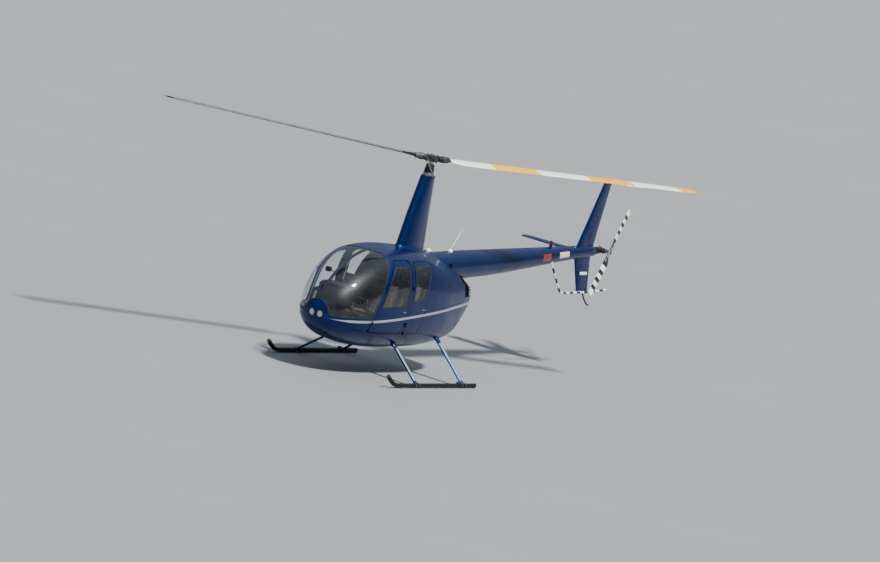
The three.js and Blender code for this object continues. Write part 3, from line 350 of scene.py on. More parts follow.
def leather_look():
    look = Look("seat_leather", (0.050, 0.036, 0.026), 0.5, Specular_IOR_Level=0.45)
    look.color(look.mix(look.span(look.noise(7, 6), 0.3, 0.7), (0.036, 0.025, 0.018), (0.066, 0.048, 0.034)))
    look.rough(look.span(look.noise(30, 4), 0.3, 0.7, 0.42, 0.62))
    look.bump(look.cells(420), 0.0004, 0.7)
    return look.material


def carpet_look(name="carpet", color=(0.045, 0.047, 0.055)):
    look = Look(name, color, 0.95, Sheen_Weight=0.3)
    light = tuple(c * 1.9 for c in color)
    look.color(look.mix(look.span(look.noise(500, 2), 0.3, 0.7), color, light))
    look.bump(look.noise(700, 2), 0.0015, 0.9)
    return look.material


def engine_look(name="engine_metal", color=(0.13, 0.13, 0.135)):
    look = Look(name, color, 0.55, Metallic=0.6)
    look.color(look.mix(look.span(look.noise(12, 8), 0.35, 0.7), color, tuple(c * 2.2 for c in color)))
    look.bump(look.noise(120, 6), 0.0008, 0.8)
    return look.material


def steel_look():
    """Exhaust steel, tinted by heat along its length."""
    look = Look("exhaust_steel", (0.22, 0.19, 0.16), 0.35, Metallic=0.9)
    tint = look.span(look.noise(8, 5), 0.3, 0.7)
    look.color(look.mix(tint, (0.16, 0.12, 0.09), (0.34, 0.30, 0.27)))
    look.rough(look.span(look.noise(60, 3, (1, 1, 0.1)), 0.3, 0.7, 0.25, 0.5))
    return look.material


BLUE = blue_look("blue_paint_striped", striped=True)
BLUE_PLAIN = blue_look()
GLASS = glass_look()
LAMP_GLASS = glass_look("lamp_glass", (0.94, 0.95, 0.96))
TRIM = plain_look("interior_trim", (0.013, 0.013, 0.015), 0.85, 500, 0.00008, Specular_IOR_Level=0.15)
LINER = plain_look("headliner", (0.10, 0.10, 0.105), 0.9, 800, 0.0004)
RUBBER = plain_look("seal_rubber", (0.010, 0.010, 0.011), 0.65)
BLACK = worn_black_look()
SATIN = plain_look("satin_black", (0.016, 0.016, 0.018), 0.4)
WHITE = plain_look("white_paint", (0.94, 0.94, 0.91), 0.3, 300, 0.00005, 0.06, Coat_Weight=0.4)
YELLOW = plain_look("yellow_paint", (0.78, 0.40, 0.0), 0.6, 300, 0.00005, 0.06, Specular_IOR_Level=0.08)
BLADE_GREY = plain_look("blade_grey", (0.012, 0.010, 0.010), 0.5, 200, 0.0001, 0.3)
RED = plain_look("red_paint", (0.21, 0.005, 0.007), 0.4, 300, 0.00005, 0.1, Coat_Weight=0.4)
PINK = plain_look("pale_placard", (0.66, 0.42, 0.45), 0.4, 300, 0.00005, 0.1)
METAL = plain_look("bare_aluminium", (0.44, 0.44, 0.45), 0.36, 260, 0.0001, 0.18, Metallic=0.95)
STEEL = plain_look("dark_steel", (0.15, 0.15, 0.155), 0.38, 260, 0.0001, 0.3, Metallic=0.9)
ENGINE = engine_look()
EXHAUST = steel_look()
RED_LENS = Look("red_lens", (0.06, 0.002, 0.012), 0.08, Transmission_Weight=0.25, Coat_Weight=1.0).material
LEATHER = leather_look()
CARPET = carpet_look()
WEBBING = carpet_look("belt_webbing", (0.02, 0.02, 0.022))
HUB_METAL = plain_look("hub_metal", (0.085, 0.082, 0.080), 0.5, 90, 0.0006, 0.7, Metallic=0.8)
DEEP_BLACK = plain_look("matt_black", (0.003, 0.003, 0.0035), 0.9, 200, 0.0001, 0.3, Specular_IOR_Level=0.1)
# Painted highlight: light blue-grey for the strips down the struts' faces, standing in for the sky mirrored
# in the blue paint
STRUT_PAINTED_HIGHLIGHT = plain_look("strut_painted_highlight", (0.42, 0.52, 0.64), 0.22, 300, 0.00005, 0.1, Metallic=0.5)
DIAL = plain_look("dial_face", (0.008, 0.008, 0.009), 0.5)
PIPING = plain_look("seat_piping", (0.012, 0.009, 0.008), 0.5)
CARPET_DARK = carpet_look("floor_mat", (0.018, 0.018, 0.021))
GLASS_DARK = plain_look("radio_window", (0.004, 0.012, 0.010), 0.08, Coat_Weight=0.6)


# Mesh helpers
def circle(count):
    """Evenly spaced angles all the way round."""
    return [2 * math.pi * k / count for k in range(count)]


def dress(obj, material):
    """Gives an object one material."""
    obj.data.materials.clear()
    obj.data.materials.append(material)


def new_object(name, points, faces, materials=()):
    mesh = bpy.data.meshes.new(name)
    mesh.from_pydata([tuple(map(float, p)) for p in points], [], faces)
    for material in materials:
        mesh.materials.append(material)
    obj = bpy.data.objects.new(name, mesh)
    bpy.context.scene.collection.objects.link(obj)
    face_outwards(mesh)
    return obj


def face_outwards(mesh):
    work = bmesh.new()
    work.from_mesh(mesh)
    bmesh.ops.recalc_face_normals(work, faces=work.faces)
    work.to_mesh(mesh)
    work.free()


def loft_faces(count, sides, looped=False, capped=True):
    faces = []
    for r in range(count if looped else count - 1):
        here, there = r * sides, (r + 1) % count * sides
        for k in range(sides):
            n = (k + 1) % sides
            faces.append((here + k, here + n, there + n, there + k))
    if capped and not looped:
        faces.append(tuple(range(sides)))
        faces.append(tuple(range((count - 1) * sides, count * sides)))
    return faces


def settle(obj, body, replaces=()):
    """Moves a finished piece from the mast's foot to the frame, hangs it on the body it rides on, and hides
    the imported parts it stands for.
    """
    obj.data.transform(Matrix.Translation(MAST_FOOT))
    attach(obj, body)
    if replaces:
        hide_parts(*replaces)
    return obj


def smooth_rows(rows, steps):
    """The rows, with curved steps between each and the next."""
    rows = np.asarray(rows, float)
    padded = np.vstack([rows[:1], rows, rows[-1:]])
    made = []
    for i in range(len(rows) - 1):
        a, b, c, d = padded[i:i + 4]
        for t in np.arange(steps) / steps:
            made.append(b + 0.5 * t * (c - a + t * (2 * a - 5 * b + 4 * c - d + t * (3 * (b - c) + d - a))))
    return np.array(made + [rows[-1]])


class Piece:
    """One mesh gathered from closed forms, each in one of the piece's materials."""

    def __init__(self, name, *materials):
        self.name, self.materials = name, materials
        self.points, self.faces, self.slots = [], [], []

    def add(self, points, faces, slot=0):
        start = len(self.points)
        self.points.extend(points)
        self.faces.extend(tuple(start + i for i in face) for face in faces)
        self.slots.extend(slot if isinstance(slot, list) else [slot] * len(faces))

    def loft(self, rings, slot=0, looped=False):
        """Rings of points joined into a closed skin. slot may be a list with one entry for each step."""
        sides = len(rings[0])
        faces = loft_faces(len(rings), sides, looped)
        if isinstance(slot, list):
            slot = [s for s in slot for _ in range(sides)] + [slot[0], slot[-1]]
        self.add([p for ring in rings for p in ring], faces, slot)

    def turned(self, start, axis, profile, sides=24, slot=0, looped=False):
        """Rings about an axis; the profile lists how far along and how wide each ring is."""
        start, axis = Vector(start), Vector(axis).normalized()
        u = axis.orthogonal().normalized()
        v = axis.cross(u)
        rings = []
        for along, radius in profile:
            rings.append([start + axis * along + (u * math.cos(a) + v * math.sin(a)) * radius
                          for a in circle(sides)])
        self.loft(rings, slot, looped)

    def rod(self, start, end, radius, end_radius=None, sides=24, slot=0, edge=0.0):
        end_radius = radius if end_radius is None else end_radius
        run = Vector(end) - Vector(start)
        profile = [(0, radius), (run.length, end_radius)]
        if edge:
            profile = [(0, radius - edge), (edge, radius), (run.length - edge, end_radius),
                       (run.length, end_radius - edge)]
        self.turned(start, run, profile, sides, slot)

    def tube(self, points, radius, sides=16, slot=0, looped=False, flat=1.0):
        """Round tube along a line of points; flat squeezes it along the second axis of its section."""
        points = [Vector(p) for p in points]
        count = len(points)
        rings, side = [], None
        for i, point in enumerate(points):
            before = points[i - 1] if i or looped else point
            after = points[(i + 1) % count] if i + 1 < count or looped else point
            along = (after - before).normalized()
            side = along.orthogonal() if side is None else side - along * side.dot(along)
            side.normalize()
            other = along.cross(side)
            size = radius[i] if isinstance(radius, (list, tuple, np.ndarray)) else radius
            rings.append([point + (side * math.cos(a) + other * math.sin(a) * flat) * size
                          for a in circle(sides)])
        self.loft(rings, slot, looped)

    def block(self, centre, size, turn=None, edge=0.002, slot=0):
        """Block with its edges cut off a little."""
        turn = turn or Matrix.Identity(3)
        points, index = [], {}
        for corner in np.ndindex(2, 2, 2):
            signs = [2 * c - 1 for c in corner]
            for axis in range(3):
                spot = [s * (d / 2 - (0 if i == axis else edge)) for i, (s, d) in enumerate(zip(signs, size))]
                index[corner, axis] = len(points)
                points.append(Vector(centre) + turn @ Vector(spot))
        faces = []
        for axis in range(3):
            b, c = [i for i in range(3) if i != axis]
            for end in (0, 1):
                around = []
                for p, q in ((0, 0), (1, 0), (1, 1), (0, 1)):
                    corner = [0, 0, 0]
                    corner[axis], corner[b], corner[c] = end, p, q
                    around.append(index[tuple(corner), axis])
                faces.append(tuple(around))
            for p in (0, 1):
                for q in (0, 1):
                    low, high = [0, 0, 0], [0, 0, 0]
                    low[axis], high[axis] = 0, 1
                    low[b] = high[b] = p
                    low[c] = high[c] = q
                    low, high = tuple(low), tuple(high)
                    faces.append((index[low, b], index[high, b], index[high, c], index[low, c]))
        faces += [tuple(index[corner, axis] for axis in range(3)) for corner in np.ndindex(2, 2, 2)]
        self.add(points, faces, slot)

    def stud(self, place, normal, radius, height, sides=8, slot=0):
        """Low round head on a surface."""
        place, normal = Vector(place), Vector(normal)
        profile = [(-height, radius), (height * 0.4, radius), (height, radius * 0.6)]
        self.turned(place, normal, profile, sides, slot)

    def sheet(self, rows, thickness, slot=0):
        """Thin plate through a grid of points; thickness is laid along the grid's own normals."""
        grid = np.array([[tuple(p) for p in row] for row in rows])
        du, dv = np.gradient(grid, axis=0), np.gradient(grid, axis=1)
        normal = np.cross(du, dv)
        normal /= np.linalg.norm(normal, axis=2, keepdims=True)
        back = grid + normal * thickness
        rings = []
        for near, far in zip(grid, back):
            rings.append([Vector(p) for p in near] + [Vector(p) for p in far[::-1]])
        self.loft(rings, slot)

    def done(self, body, replaces=(), angle=32):
        obj = new_object(self.name, self.points, self.faces, self.materials)
        mesh = obj.data
        mesh.polygons.foreach_set("material_index", self.slots)
        mesh.shade_smooth()
        mesh.set_sharp_from_angle(angle=math.radians(angle))
        return settle(obj, body, replaces)


def combined(obj, operation, *others):
    """Joins the others to an object, cuts them from it or keeps what it shares with them."""
    for other in others:
        change = obj.modifiers.new("change", "BOOLEAN")
        change.operation, change.solver, change.object = operation, "MANIFOLD", other
    graph = bpy.context.evaluated_depsgraph_get()
    mesh = bpy.data.meshes.new_from_object(obj.evaluated_get(graph))
    obj.modifiers.clear()
    obj.data = mesh
    return obj


def copied(obj, name):
    twin = bpy.data.objects.new(name, obj.data.copy())
    bpy.context.scene.collection.objects.link(twin)
    return twin


def drop(*objects):
    for obj in objects:
        bpy.data.objects.remove(obj)


def drop_cutters():
    drop(*[o for o in bpy.data.objects if o.name.startswith(("cutter", "pod"))])


# Side-view outlines, each a list of (x, z) corners
def inset(outline, distance):
    turns = [a[0] * b[1] - b[0] * a[1] for a, b in zip(outline, outline[1:] + outline[:1])]
    turn = math.copysign(1, sum(turns))

    def inward(a, b):
        length = math.hypot(b[0] - a[0], b[1] - a[1])
        return -turn * (b[1] - a[1]) / length, turn * (b[0] - a[0]) / length
    moved = []
    for i, point in enumerate(outline):
        a = inward(outline[i - 1], point)
        b = inward(point, outline[(i + 1) % len(outline)])
        reach = distance / (1 + a[0] * b[0] + a[1] * b[1])
        moved.append((point[0] + (a[0] + b[0]) * reach, point[1] + (a[1] + b[1]) * reach))
    return moved


def rounded(outline, radius, steps=6):
    smooth = []
    for i, corner in enumerate(outline):
        ends = []
        for other in (outline[i - 1], outline[(i + 1) % len(outline)]):
            length = math.hypot(other[0] - corner[0], other[1] - corner[1])
            reach = min(radius, length * 0.45) / length
            ends.append([c + (o - c) * reach for c, o in zip(corner, other)])
        for t in np.arange(steps + 1) / steps:
            smooth.append(tuple((1 - t) ** 2 * a + 2 * t * (1 - t) * c + t * t * b
                                for a, c, b in zip(ends[0], corner, ends[1])))
    return smooth


def prism(outline, y0, y1):
    """Cutter that spans an outline from one side to the other."""
    count = len(outline)
    points = [(x, y, z) for y in (y0, y1) for x, z in outline]
    return new_object("cutter", points, loft_faces(2, count))


# The pod: cabin and engine cowls in one surface. corner is the angle of the shoulder line above the
# greatest width, and flat is how far the top is flattened inwards of that line.
POD_COLUMNS = "x top bottom half wide above below corner flat".split()
POD = smooth_rows([
                   (-2.470, 0.940, 0.880, 0.030, 0.910, 2.0, 2.00, 45, 0),
                   (-2.430, 1.070, 0.760, 0.170, 0.920, 2.1, 2.10, 45, 0),
                   (-2.340, 1.270, 0.650, 0.320, 0.940, 2.3, 2.20, 45, 0),
                   (-2.200, 1.420, 0.570, 0.425, 0.960, 2.5, 2.25, 45, 0),
                   (-2.000, 1.580, 0.500, 0.515, 0.990, 2.8, 2.30, 45, 0),
                   (-1.700, 1.745, 0.445, 0.590, 1.020, 3.1, 2.35, 45, 0),
                   (-1.350, 1.845, 0.410, 0.630, 1.050, 3.3, 2.40, 45, 0),
                   (-0.900, 1.895, 0.395, 0.645, 1.070, 3.3, 2.45, 45, 0),
                   (-0.400, 1.900, 0.400, 0.640, 1.080, 3.0, 2.50, 60, 0),
                   (0.050, 1.885, 0.415, 0.620, 1.090, 2.6, 2.60, 47, 0.8),
                   (0.450, 1.850, 0.445, 0.575, 1.100, 2.3, 2.70, 38, 1),
                   (0.850, 1.780, 0.490, 0.500, 1.120, 2.2, 2.80, 30, 1),
                   (1.200, 1.670, 0.570, 0.420, 1.150, 2.3, 2.90, 26, 1),
                   (1.450, 1.570, 0.740, 0.350, 1.200, 2.3, 2.90, 24, 1),
                   (1.580, 1.500, 0.880, 0.310, 1.220, 2.3, 2.90, 24, 1),
], 48)
SHOULDER_CURVE = 1.3


def section(x):
    return {name: np.interp(x, POD[:, 0], POD[:, i]) for i, name in enumerate(POD_COLUMNS)}


def ring(s, turn, depth=0.0):
    """Coordinates of the pod's section at shares of the way round, a depth under its surface."""
    quarter = np.asarray(turn, float) % 1 * 4
    share = np.where(quarter.astype(int) % 2 == 0, quarter % 1, 1 - quarter % 1)
    upper = quarter < 2
    corner = np.radians(s["corner"])
    bent = np.where(share < 0.5, 2 * share * corner, corner + (2 * share - 1) * (math.pi / 2 - corner))
    angle = np.where(upper, bent, share * math.pi / 2)
    power = 2 / np.where(upper, s["above"], s["below"])
    height = np.where(upper, s["top"] - s["wide"], s["wide"] - s["bottom"]) - depth
    reach = s["half"] - depth
    y = reach * np.cos(angle).clip(0) ** power
    rise = height * np.sin(angle) ** power
    edge_y, edge_rise = reach * np.cos(corner) ** power, height * np.sin(corner) ** power
    slope = edge_rise + (height - edge_rise) * (1 - np.minimum(y / edge_y, 1) ** SHOULDER_CURVE)
    rise = np.where(upper & (angle > corner), rise + s["flat"] * (slope - rise), rise)
    x = s["x"] + depth * np.clip((-1.7 - s["x"]) / 0.7, 0, 1)
    port = (quarter >= 1) & (quarter < 3)
    return x + 0 * y, np.where(port, -y, y), s["wide"] + np.where(upper, rise, -rise)


UPWARDS = np.linspace(-0.25, 0.25, 400)  # shares of the way round, from the keel up the starboard side


def pod_side(x, z, side, depth=0.0):
    """Point of the pod's surface at a station and a height."""
    _, y, heights = ring(section(x), UPWARDS, depth)
    return Vector((x, side * float(np.interp(z, heights, y)), z))


def pod_cap(x, y, upper=True):
    """Point of the pod's surface over or under a point of the plan."""
    shares = np.linspace(0.25, 0.0, 200) if upper else np.linspace(-0.25, 0.0, 200)
    _, ys, heights = ring(section(x), shares)
    return Vector((x, y, float(np.interp(abs(y), ys, heights))))


LEVEL_ANGLES = np.linspace(-math.pi / 2, math.pi / 2, 721)


def level_table():
    rows = []
    for row in POD:
        s = dict(zip(POD_COLUMNS, row))
        _, y, z = ring(s, UPWARDS)
        rows.append(np.interp(LEVEL_ANGLES, np.arctan2(z - s["wide"], y), np.hypot(y, z - s["wide"])))
    return np.array(rows)


LEVELS = level_table()


def level(points):
    """How far points lie outside the pod's surface, along the radius of its section."""
    x, y, z = points.T
    rise = z - np.interp(x, POD[:, 0], POD[:, 4])
    row = np.interp(x, POD[:, 0], np.arange(len(POD)))
    column = (np.arctan2(rise, np.abs(y)) / math.pi + 0.5) * (len(LEVEL_ANGLES) - 1)
    i = row.astype(int).clip(0, len(POD) - 2)
    j = column.astype(int).clip(0, len(LEVEL_ANGLES) - 2)
    u, v = row - i, column - j
    front = LEVELS[i, j] * (1 - v) + LEVELS[i, j + 1] * v
    rear = LEVELS[i + 1, j] * (1 - v) + LEVELS[i + 1, j + 1] * v
    return np.hypot(y, rise) - front * (1 - u) - rear * u


def pod_normals(points):
    points = np.asarray(points, float)
    step = 0.006
    slopes = [level(points + step * axis) - level(points - step * axis) for axis in np.eye(3)]
    normals = np.stack(slopes, axis=1)
    return normals / np.maximum(np.linalg.norm(normals, axis=1, keepdims=True), 1e-9)


def pod_normal(point):
    return Vector(pod_normals(np.array([tuple(point)]))[0])


POD_TAIL = 0.06  # how far a solid that cuts runs on aft


def pod_solid(depth, every, sides, tail=0.0):
    """Closed solid inside the pod's surface, a depth under it, carried aft by a tail length."""
    rows = list(POD[::every])
    if tail:
        last = POD[-1].copy()
        last[0] += tail
        rows.append(last)
    turns = np.arange(sides) / sides
    rings = []
    for row in rows:
        rings.append(np.stack(ring(dict(zip(POD_COLUMNS, row)), turns, depth), axis=1))
    points = np.vstack(rings)
    return new_object("pod", points, loft_faces(len(rings), sides))


def face_agreement(mesh):
    """Each face's normal, and how far it agrees with the pod's."""
    count = len(mesh.polygons)
    normals, centres = np.zeros(count * 3), np.zeros(count * 3)
    mesh.polygons.foreach_get("normal", normals)
    mesh.polygons.foreach_get("center", centres)
    normals = normals.reshape(-1, 3)
    return normals, np.einsum("ij,ij->i", normals, pod_normals(centres.reshape(-1, 3)))


def shade_pod(obj, outer, inner=None):
    """Gives a panel its materials, and the pod's own smooth normals wherever it follows the pod."""
    mesh = obj.data
    mesh.materials.clear()
    mesh.materials.append(outer)
    mesh.materials.append(inner or outer)
    normals, agree = face_agreement(mesh)
    mesh.polygons.foreach_set("material_index", np.where(agree < -0.7, 1, 0))
    mesh.shade_smooth()
    points = np.zeros(len(mesh.vertices) * 3)
    mesh.vertices.foreach_get("co", points)
    smooth = pod_normals(points.reshape(-1, 3))
    corners = np.zeros(len(mesh.loops), int)
    mesh.loops.foreach_get("vertex_index", corners)
    totals = np.zeros(len(mesh.polygons), int)
    mesh.polygons.foreach_get("loop_total", totals)
    owner = np.repeat(np.arange(len(totals)), totals)
    follows = np.abs(agree[owner]) > 0.9
    chosen = np.where(follows[:, None], np.sign(agree[owner])[:, None] * smooth[corners], normals[owner])
    mesh.normals_split_custom_set(chosen.tolist())
    return obj


def rims(obj):
    """Closed lines where the outer surface of a panel meets its cut edges, longest first."""
    _, agree = face_agreement(obj.data)
    work = bmesh.new()
    work.from_mesh(obj.data)
    outer = agree > 0.75
    joins = {}
    for edge in work.edges:
        faces = [outer[f.index] for f in edge.link_faces]
        if len(faces) == 2 and faces[0] != faces[1]:
            a, b = (v.index for v in edge.verts)
            joins.setdefault(a, []).append(b)
            joins.setdefault(b, []).append(a)
    places = [v.co.copy() for v in work.verts]
    work.free()
    lines = []
    while joins:
        start = next(iter(joins))
        line, here = [start], start
        while joins.get(here):
            there = joins[here].pop()
            joins[there].remove(here)
            if there == start:
                break
            line.append(there)
            here = there
        joins = {k: v for k, v in joins.items() if v}
        lines.append([places[i] for i in line])
    return sorted(lines, key=lambda line: -line_length(line))


def line_length(line):
    return sum((b - a).length for a, b in zip(line, line[1:]))


def even(line, step, closed=True):
    """The line with evenly spaced points."""
    points = np.array([tuple(p) for p in (line + line[:1] if closed else line)])
    runs = np.concatenate([[0], np.cumsum(np.linalg.norm(np.diff(points, axis=0), axis=1))])
    count = max(4, int(runs[-1] / step))
    marks = np.linspace(0, runs[-1], count, endpoint=not closed)
    return [Vector(p) for p in np.stack([np.interp(marks, runs, points[:, i]) for i in range(3)], axis=1)]


def add_band(piece, line, profile, slot=0, closed=True):
    """Sweeps a profile along a line on the pod; each entry is (outwards in the surface, off the surface)."""
    centre = sum(line, Vector()) / len(line)
    normals = [Vector(n) for n in pod_normals(np.array([tuple(p) for p in line]))]
    count = len(line)
    rings, turn = [], None
    for i, point in enumerate(line):
        before = line[i - 1] if closed or i else point
        after = line[(i + 1) % count] if closed or i + 1 < count else point
        side = (after - before).normalized().cross(normals[i]).normalized()
        if turn is None:
            outward = [(line[(k + 1) % count] - line[k - 1]).cross(normals[k]) for k in range(count)]
            turn = sum(1 if (p - centre).dot(out) > 0 else -1 for p, out in zip(line, outward))
        side *= 1 if turn > 0 or not closed else -1
        rings.append([point + side * out + normals[i] * off for out, off in profile])
    piece.loft(rings, slot, looped=closed)


# Outlines of the openings
BELT = [(-2.700, 0.905), (-2.330, 0.895), (-2.200, 0.900), (-1.900, 0.917), (-1.500, 0.945), (-1.240, 0.962),
        (-0.830, 0.995), (-0.040, 1.075), (0.700, 1.135), (1.700, 1.185)]
PILLAR_FRONT = [(-1.762, 0.930), (-1.655, 1.190), (-1.573, 1.460), (-1.440, 1.690), (-1.340, 1.810),
                (-1.290, 1.990)]
UPPER_COWL_SEAM = [(-0.040, 1.700), (1.700, 1.270)]
OPENING_CORNER = 0.060
PANEL_CORNER = 0.120
WINDOW_CORNER = 0.050
BOW_HALF = 0.014
# Ends of cutters, well clear of the pod
FAR_FRONT, FAR_REAR, FAR_SIDE = -2.7, 1.7, 0.9
FAR_BOTTOM, FAR_TOP = 0.3, 2.2
NOSE_CAP = {"half": 0.210, "top": 1.085, "base": 0.860}
DOORS = {
         "front": {
                   "outline": [(-1.765, 0.705), (-1.700, 0.950), (-1.600, 1.180), (-1.520, 1.450),
                               (-1.400, 1.650), (-1.275, 1.785), (-0.870, 1.800), (-0.860, 0.690)],
                   "window": [(-1.600, 1.095), (-1.545, 1.215), (-1.470, 1.440), (-1.350, 1.640),
                              (-1.290, 1.690), (-0.925, 1.705), (-0.905, 1.145)],
                   "hinges": [(-1.743, 0.860), (-1.552, 1.400)],
                   "handle": (-0.925, 1.045),
    },
         "rear": {
                  "outline": [(-0.800, 0.690), (-0.790, 1.790), (-0.230, 1.780), (-0.135, 1.740),
                              (-0.310, 1.180), (-0.340, 0.760), (-0.400, 0.700)],
                  "window": [(-0.755, 1.205), (-0.730, 1.715), (-0.290, 1.715), (-0.225, 1.690),
                             (-0.405, 1.225)],
                  "hinges": [(-0.816, 0.850), (-0.812, 1.400)],
                  "handle": (-0.375, 1.085),
    },
}


def side_range(side, inner=0.040):
    return (-FAR_SIDE, -inner) if side == PORT else (inner, FAR_SIDE)


def nose_cap(offset):
    """Cutter over the raised middle of the nose, below the windshield."""
    points = []
    for x in (FAR_FRONT, -2.000):
        for a in circle(48):
            half, rise = NOSE_CAP["half"] + offset, NOSE_CAP["top"] - NOSE_CAP["base"] + offset
            points.append((x, half * math.cos(a), NOSE_CAP["base"] + rise * math.sin(a)))
    return new_object("cutter", points, loft_faces(2, 48))


def windshield_outline(offset):
    lower = [p for p in BELT if p[0] < PILLAR_FRONT[0][0]]
    return inset(lower + rounded_line(PILLAR_FRONT) + [(FAR_FRONT, PILLAR_FRONT[-1][1])], offset)


def rounded_line(line):
    """An open line with curved steps between its points."""
    return [tuple(p) for p in smooth_rows(line, 5)]


def door_cutter(door, side, offset, corner):
    return prism(inset(rounded(DOORS[door]["outline"], corner), offset), *side_range(side))


def window_cutter(door, side, offset=0.0):
    return prism(inset(rounded(DOORS[door]["window"], WINDOW_CORNER), offset), *side_range(side))


# Cabin shell, doors and glazing
LAMP_RADIUS = 0.052
LAMP_SPREAD = 0.065
LAMP_Z = 0.872
HINGE_OFFSET = 0.020
HINGE_PIN = 0.004
HINGE_RADIUS = 0.009
KNUCKLE = 0.034
LUG = 0.012


def tail_cone_cutter(extra):
    points = [p for x, _, _ in CONE for p in cone_ring(x, extra)]
    return new_object("cutter", points, loft_faces(len(CONE), CONE_SIDES))


CONE_SIDES = 64
# Tail cone: x, z of the centre, and radius
CONE = [(0.640, 1.583, 0.224), (0.930, 1.600, 0.222), (1.550, 1.634, 0.214), (2.800, 1.700, 0.186),
        (4.200, 1.796, 0.134), (5.250, 1.870, 0.094), (5.560, 1.885, 0.086), (5.690, 1.884, 0.076)]
CONE_END = CONE[-1][0]


def hinge_frame(door, side, place):
    """Middle of one of a door's two hinges, and the direction of the hinge line."""
    low, high = (pod_side(x, z, side) + Vector((0, side * HINGE_OFFSET, 0)) for x, z in DOORS[door]["hinges"])
    along = (high - low).normalized()
    return (low, high)[place], along


def arm_turn(along, direction):
    across = (direction - along * direction.dot(along)).normalized()
    return Matrix((across, along.cross(across), along)).transposed(), across


def add_frame_hinge(piece, door, side, place, slot):
    centre, along = hinge_frame(door, side, place)
    half = KNUCKLE / 2 + 0.0005
    turn, across = arm_turn(along, Vector((0, -side, 0)))
    reach = along * (half + 0.001)
    piece.rod(centre - reach, centre + reach, HINGE_PIN, sides=16, slot=slot)
    for end in BOTH:
        near, far = centre + along * end * half, centre + along * end * (half + LUG)
        piece.rod(near, far, HINGE_RADIUS, sides=20, slot=slot, edge=0.001)
        length = HINGE_OFFSET + WALL / 2
        piece.block((near + far) / 2 + across * length / 2, (length, HINGE_RADIUS, LUG), turn, 0.001, slot)


def add_door_hinge(piece, door, side, place, slot):
    centre, along = hinge_frame(door, side, place)
    turn, across = arm_turn(along, Vector((1, -0.45 * side, 0)))
    start, end = centre - along * KNUCKLE / 2, centre + along * KNUCKLE / 2
    profile = [(0, HINGE_PIN + 0.0005), (0, HINGE_RADIUS), (KNUCKLE, HINGE_RADIUS),
               (KNUCKLE, HINGE_PIN + 0.0005)]
    piece.turned(start, end - start, profile, 20, slot, looped=True)
    reach = 0.058 - HINGE_RADIUS + 0.002
    middle = centre + across * (HINGE_RADIUS - 0.002 + reach / 2)
    piece.block(middle, (reach, HINGE_RADIUS, KNUCKLE - 0.008), turn, 0.001, slot)


def cabin_shell(shell, holes):
    """Tub and frame in one painted skin, with the windshield, door and lamp openings cut."""
    cabin = combined(copied(shell, "cabin_shell"), "INTERSECT",
                     block_cutter((FAR_FRONT, -FAR_SIDE, FAR_BOTTOM), (CABIN_END - SEAM, FAR_SIDE, FAR_TOP)))
    panes = []
    for side in BOTH:
        pane = prism(windshield_outline(0), *side_range(side, BOW_HALF))
        panes.append(combined(pane, "DIFFERENCE", nose_cap(0)))
    lamps = [rod_cutter((-2.6, y, LAMP_Z), (-2.3, y, LAMP_Z), LAMP_RADIUS + 0.002)
             for y in (-LAMP_SPREAD, LAMP_SPREAD)]
    combined(cabin, "DIFFERENCE", *panes, *holes, *lamps)
    shade_pod(cabin, BLUE, LINER)
    return settle(cabin, "fuselage", ("cabin_tub", "cabin_frame"))


def block_cutter(low, high):
    outline = [(low[0], low[2]), (high[0], low[2]), (high[0], high[2]), (low[0], high[2])]
    return prism(outline, low[1], high[1])


def rod_cutter(start, end, radius, sides=48):
    rod = Piece("cutter")
    rod.rod(start, end, radius, sides=sides)
    return new_object("cutter", rod.points, rod.faces)


GLASS_SEAL = [(-0.010, 0.0010), (-0.009, 0.0045), (0.003, 0.0062), (0.007, 0.0050), (0.007, 0.0030)]
GLASS_TRIM = [(-0.008, 0.0010), (-0.007, 0.0052), (0.004, 0.0066), (0.008, 0.0050), (0.008, 0.0030)]


def add_pane(glass, cutter, name, body, node, profile):
    """A pane cut from the glazing's shell, with the rubber seal around it."""
    pane = combined(copied(glass, name), "INTERSECT", cutter)
    seal = Piece(f"{name}_seal", RUBBER)
    add_band(seal, even(rims(pane)[0], 0.012), profile)
    shade_pod(pane, GLASS)
    settle(pane, body, (node,))
    seal.done(body)


# Section of the door gaskets, whose lip fills the wider corners of the openings: offset outwards and depth
GASKET_PROFILE = ((-0.0005, -0.016), (-0.0005, -0.0065), (0.0045, -0.0045), (0.021, -0.0045), (0.021, -0.016))


def add_doors(shell, glass):
    for name, side in SIDES:
        for door in DOORS:
            body = f"door_{door}_{name}"
            panel = combined(copied(shell, f"{door}_door_panel_{name}"), "INTERSECT",
                             door_cutter(door, side, DOOR_GAP, PANEL_CORNER))
            combined(panel, "DIFFERENCE", window_cutter(door, side))
            shade_pod(panel, BLUE, TRIM)
            settle(panel, body, (f"{door}_door_{name}",))
            add_pane(glass, window_cutter(door, side, PANE_GAP), f"{door}_door_pane_{name}", body,
                     f"{door}_window_{name}", GLASS_SEAL)
            add_door_fittings(door, name, side, body)


def add_door_fittings(door, name, side, body):
    """Hinge knuckles, and the outside handle on its round plate."""
    fittings = Piece(f"{door}_door_fittings_{name}", BLUE_PLAIN, METAL, SATIN)
    for place in (0, 1):
        add_door_hinge(fittings, door, side, place, 0)
    x, z = DOORS[door]["handle"]
    spot = pod_side(x, z, side)
    normal = pod_normal(spot)
    turn = surface_turn(normal)
    fittings.turned(spot - normal * 0.003, normal, [(0, 0.030), (0.0045, 0.030), (0.0055, 0.028)], 32, 2)
    lever = turn @ Vector((0.030, 0, 0))
    fittings.tube([spot + lever * t + normal * (0.007 + 0.006 * math.sin(math.pi * (t + 1.2) / 2.4))
                   for t in np.linspace(-1.2, 1.0, 9)], 0.006, 12, 1, flat=0.7)
    fittings.turned(spot + turn @ Vector((-0.036, 0.0, 0)), normal,
                    [(0, 0.010), (0.009, 0.010), (0.011, 0.008)], 20, 1)
    fittings.done(body)


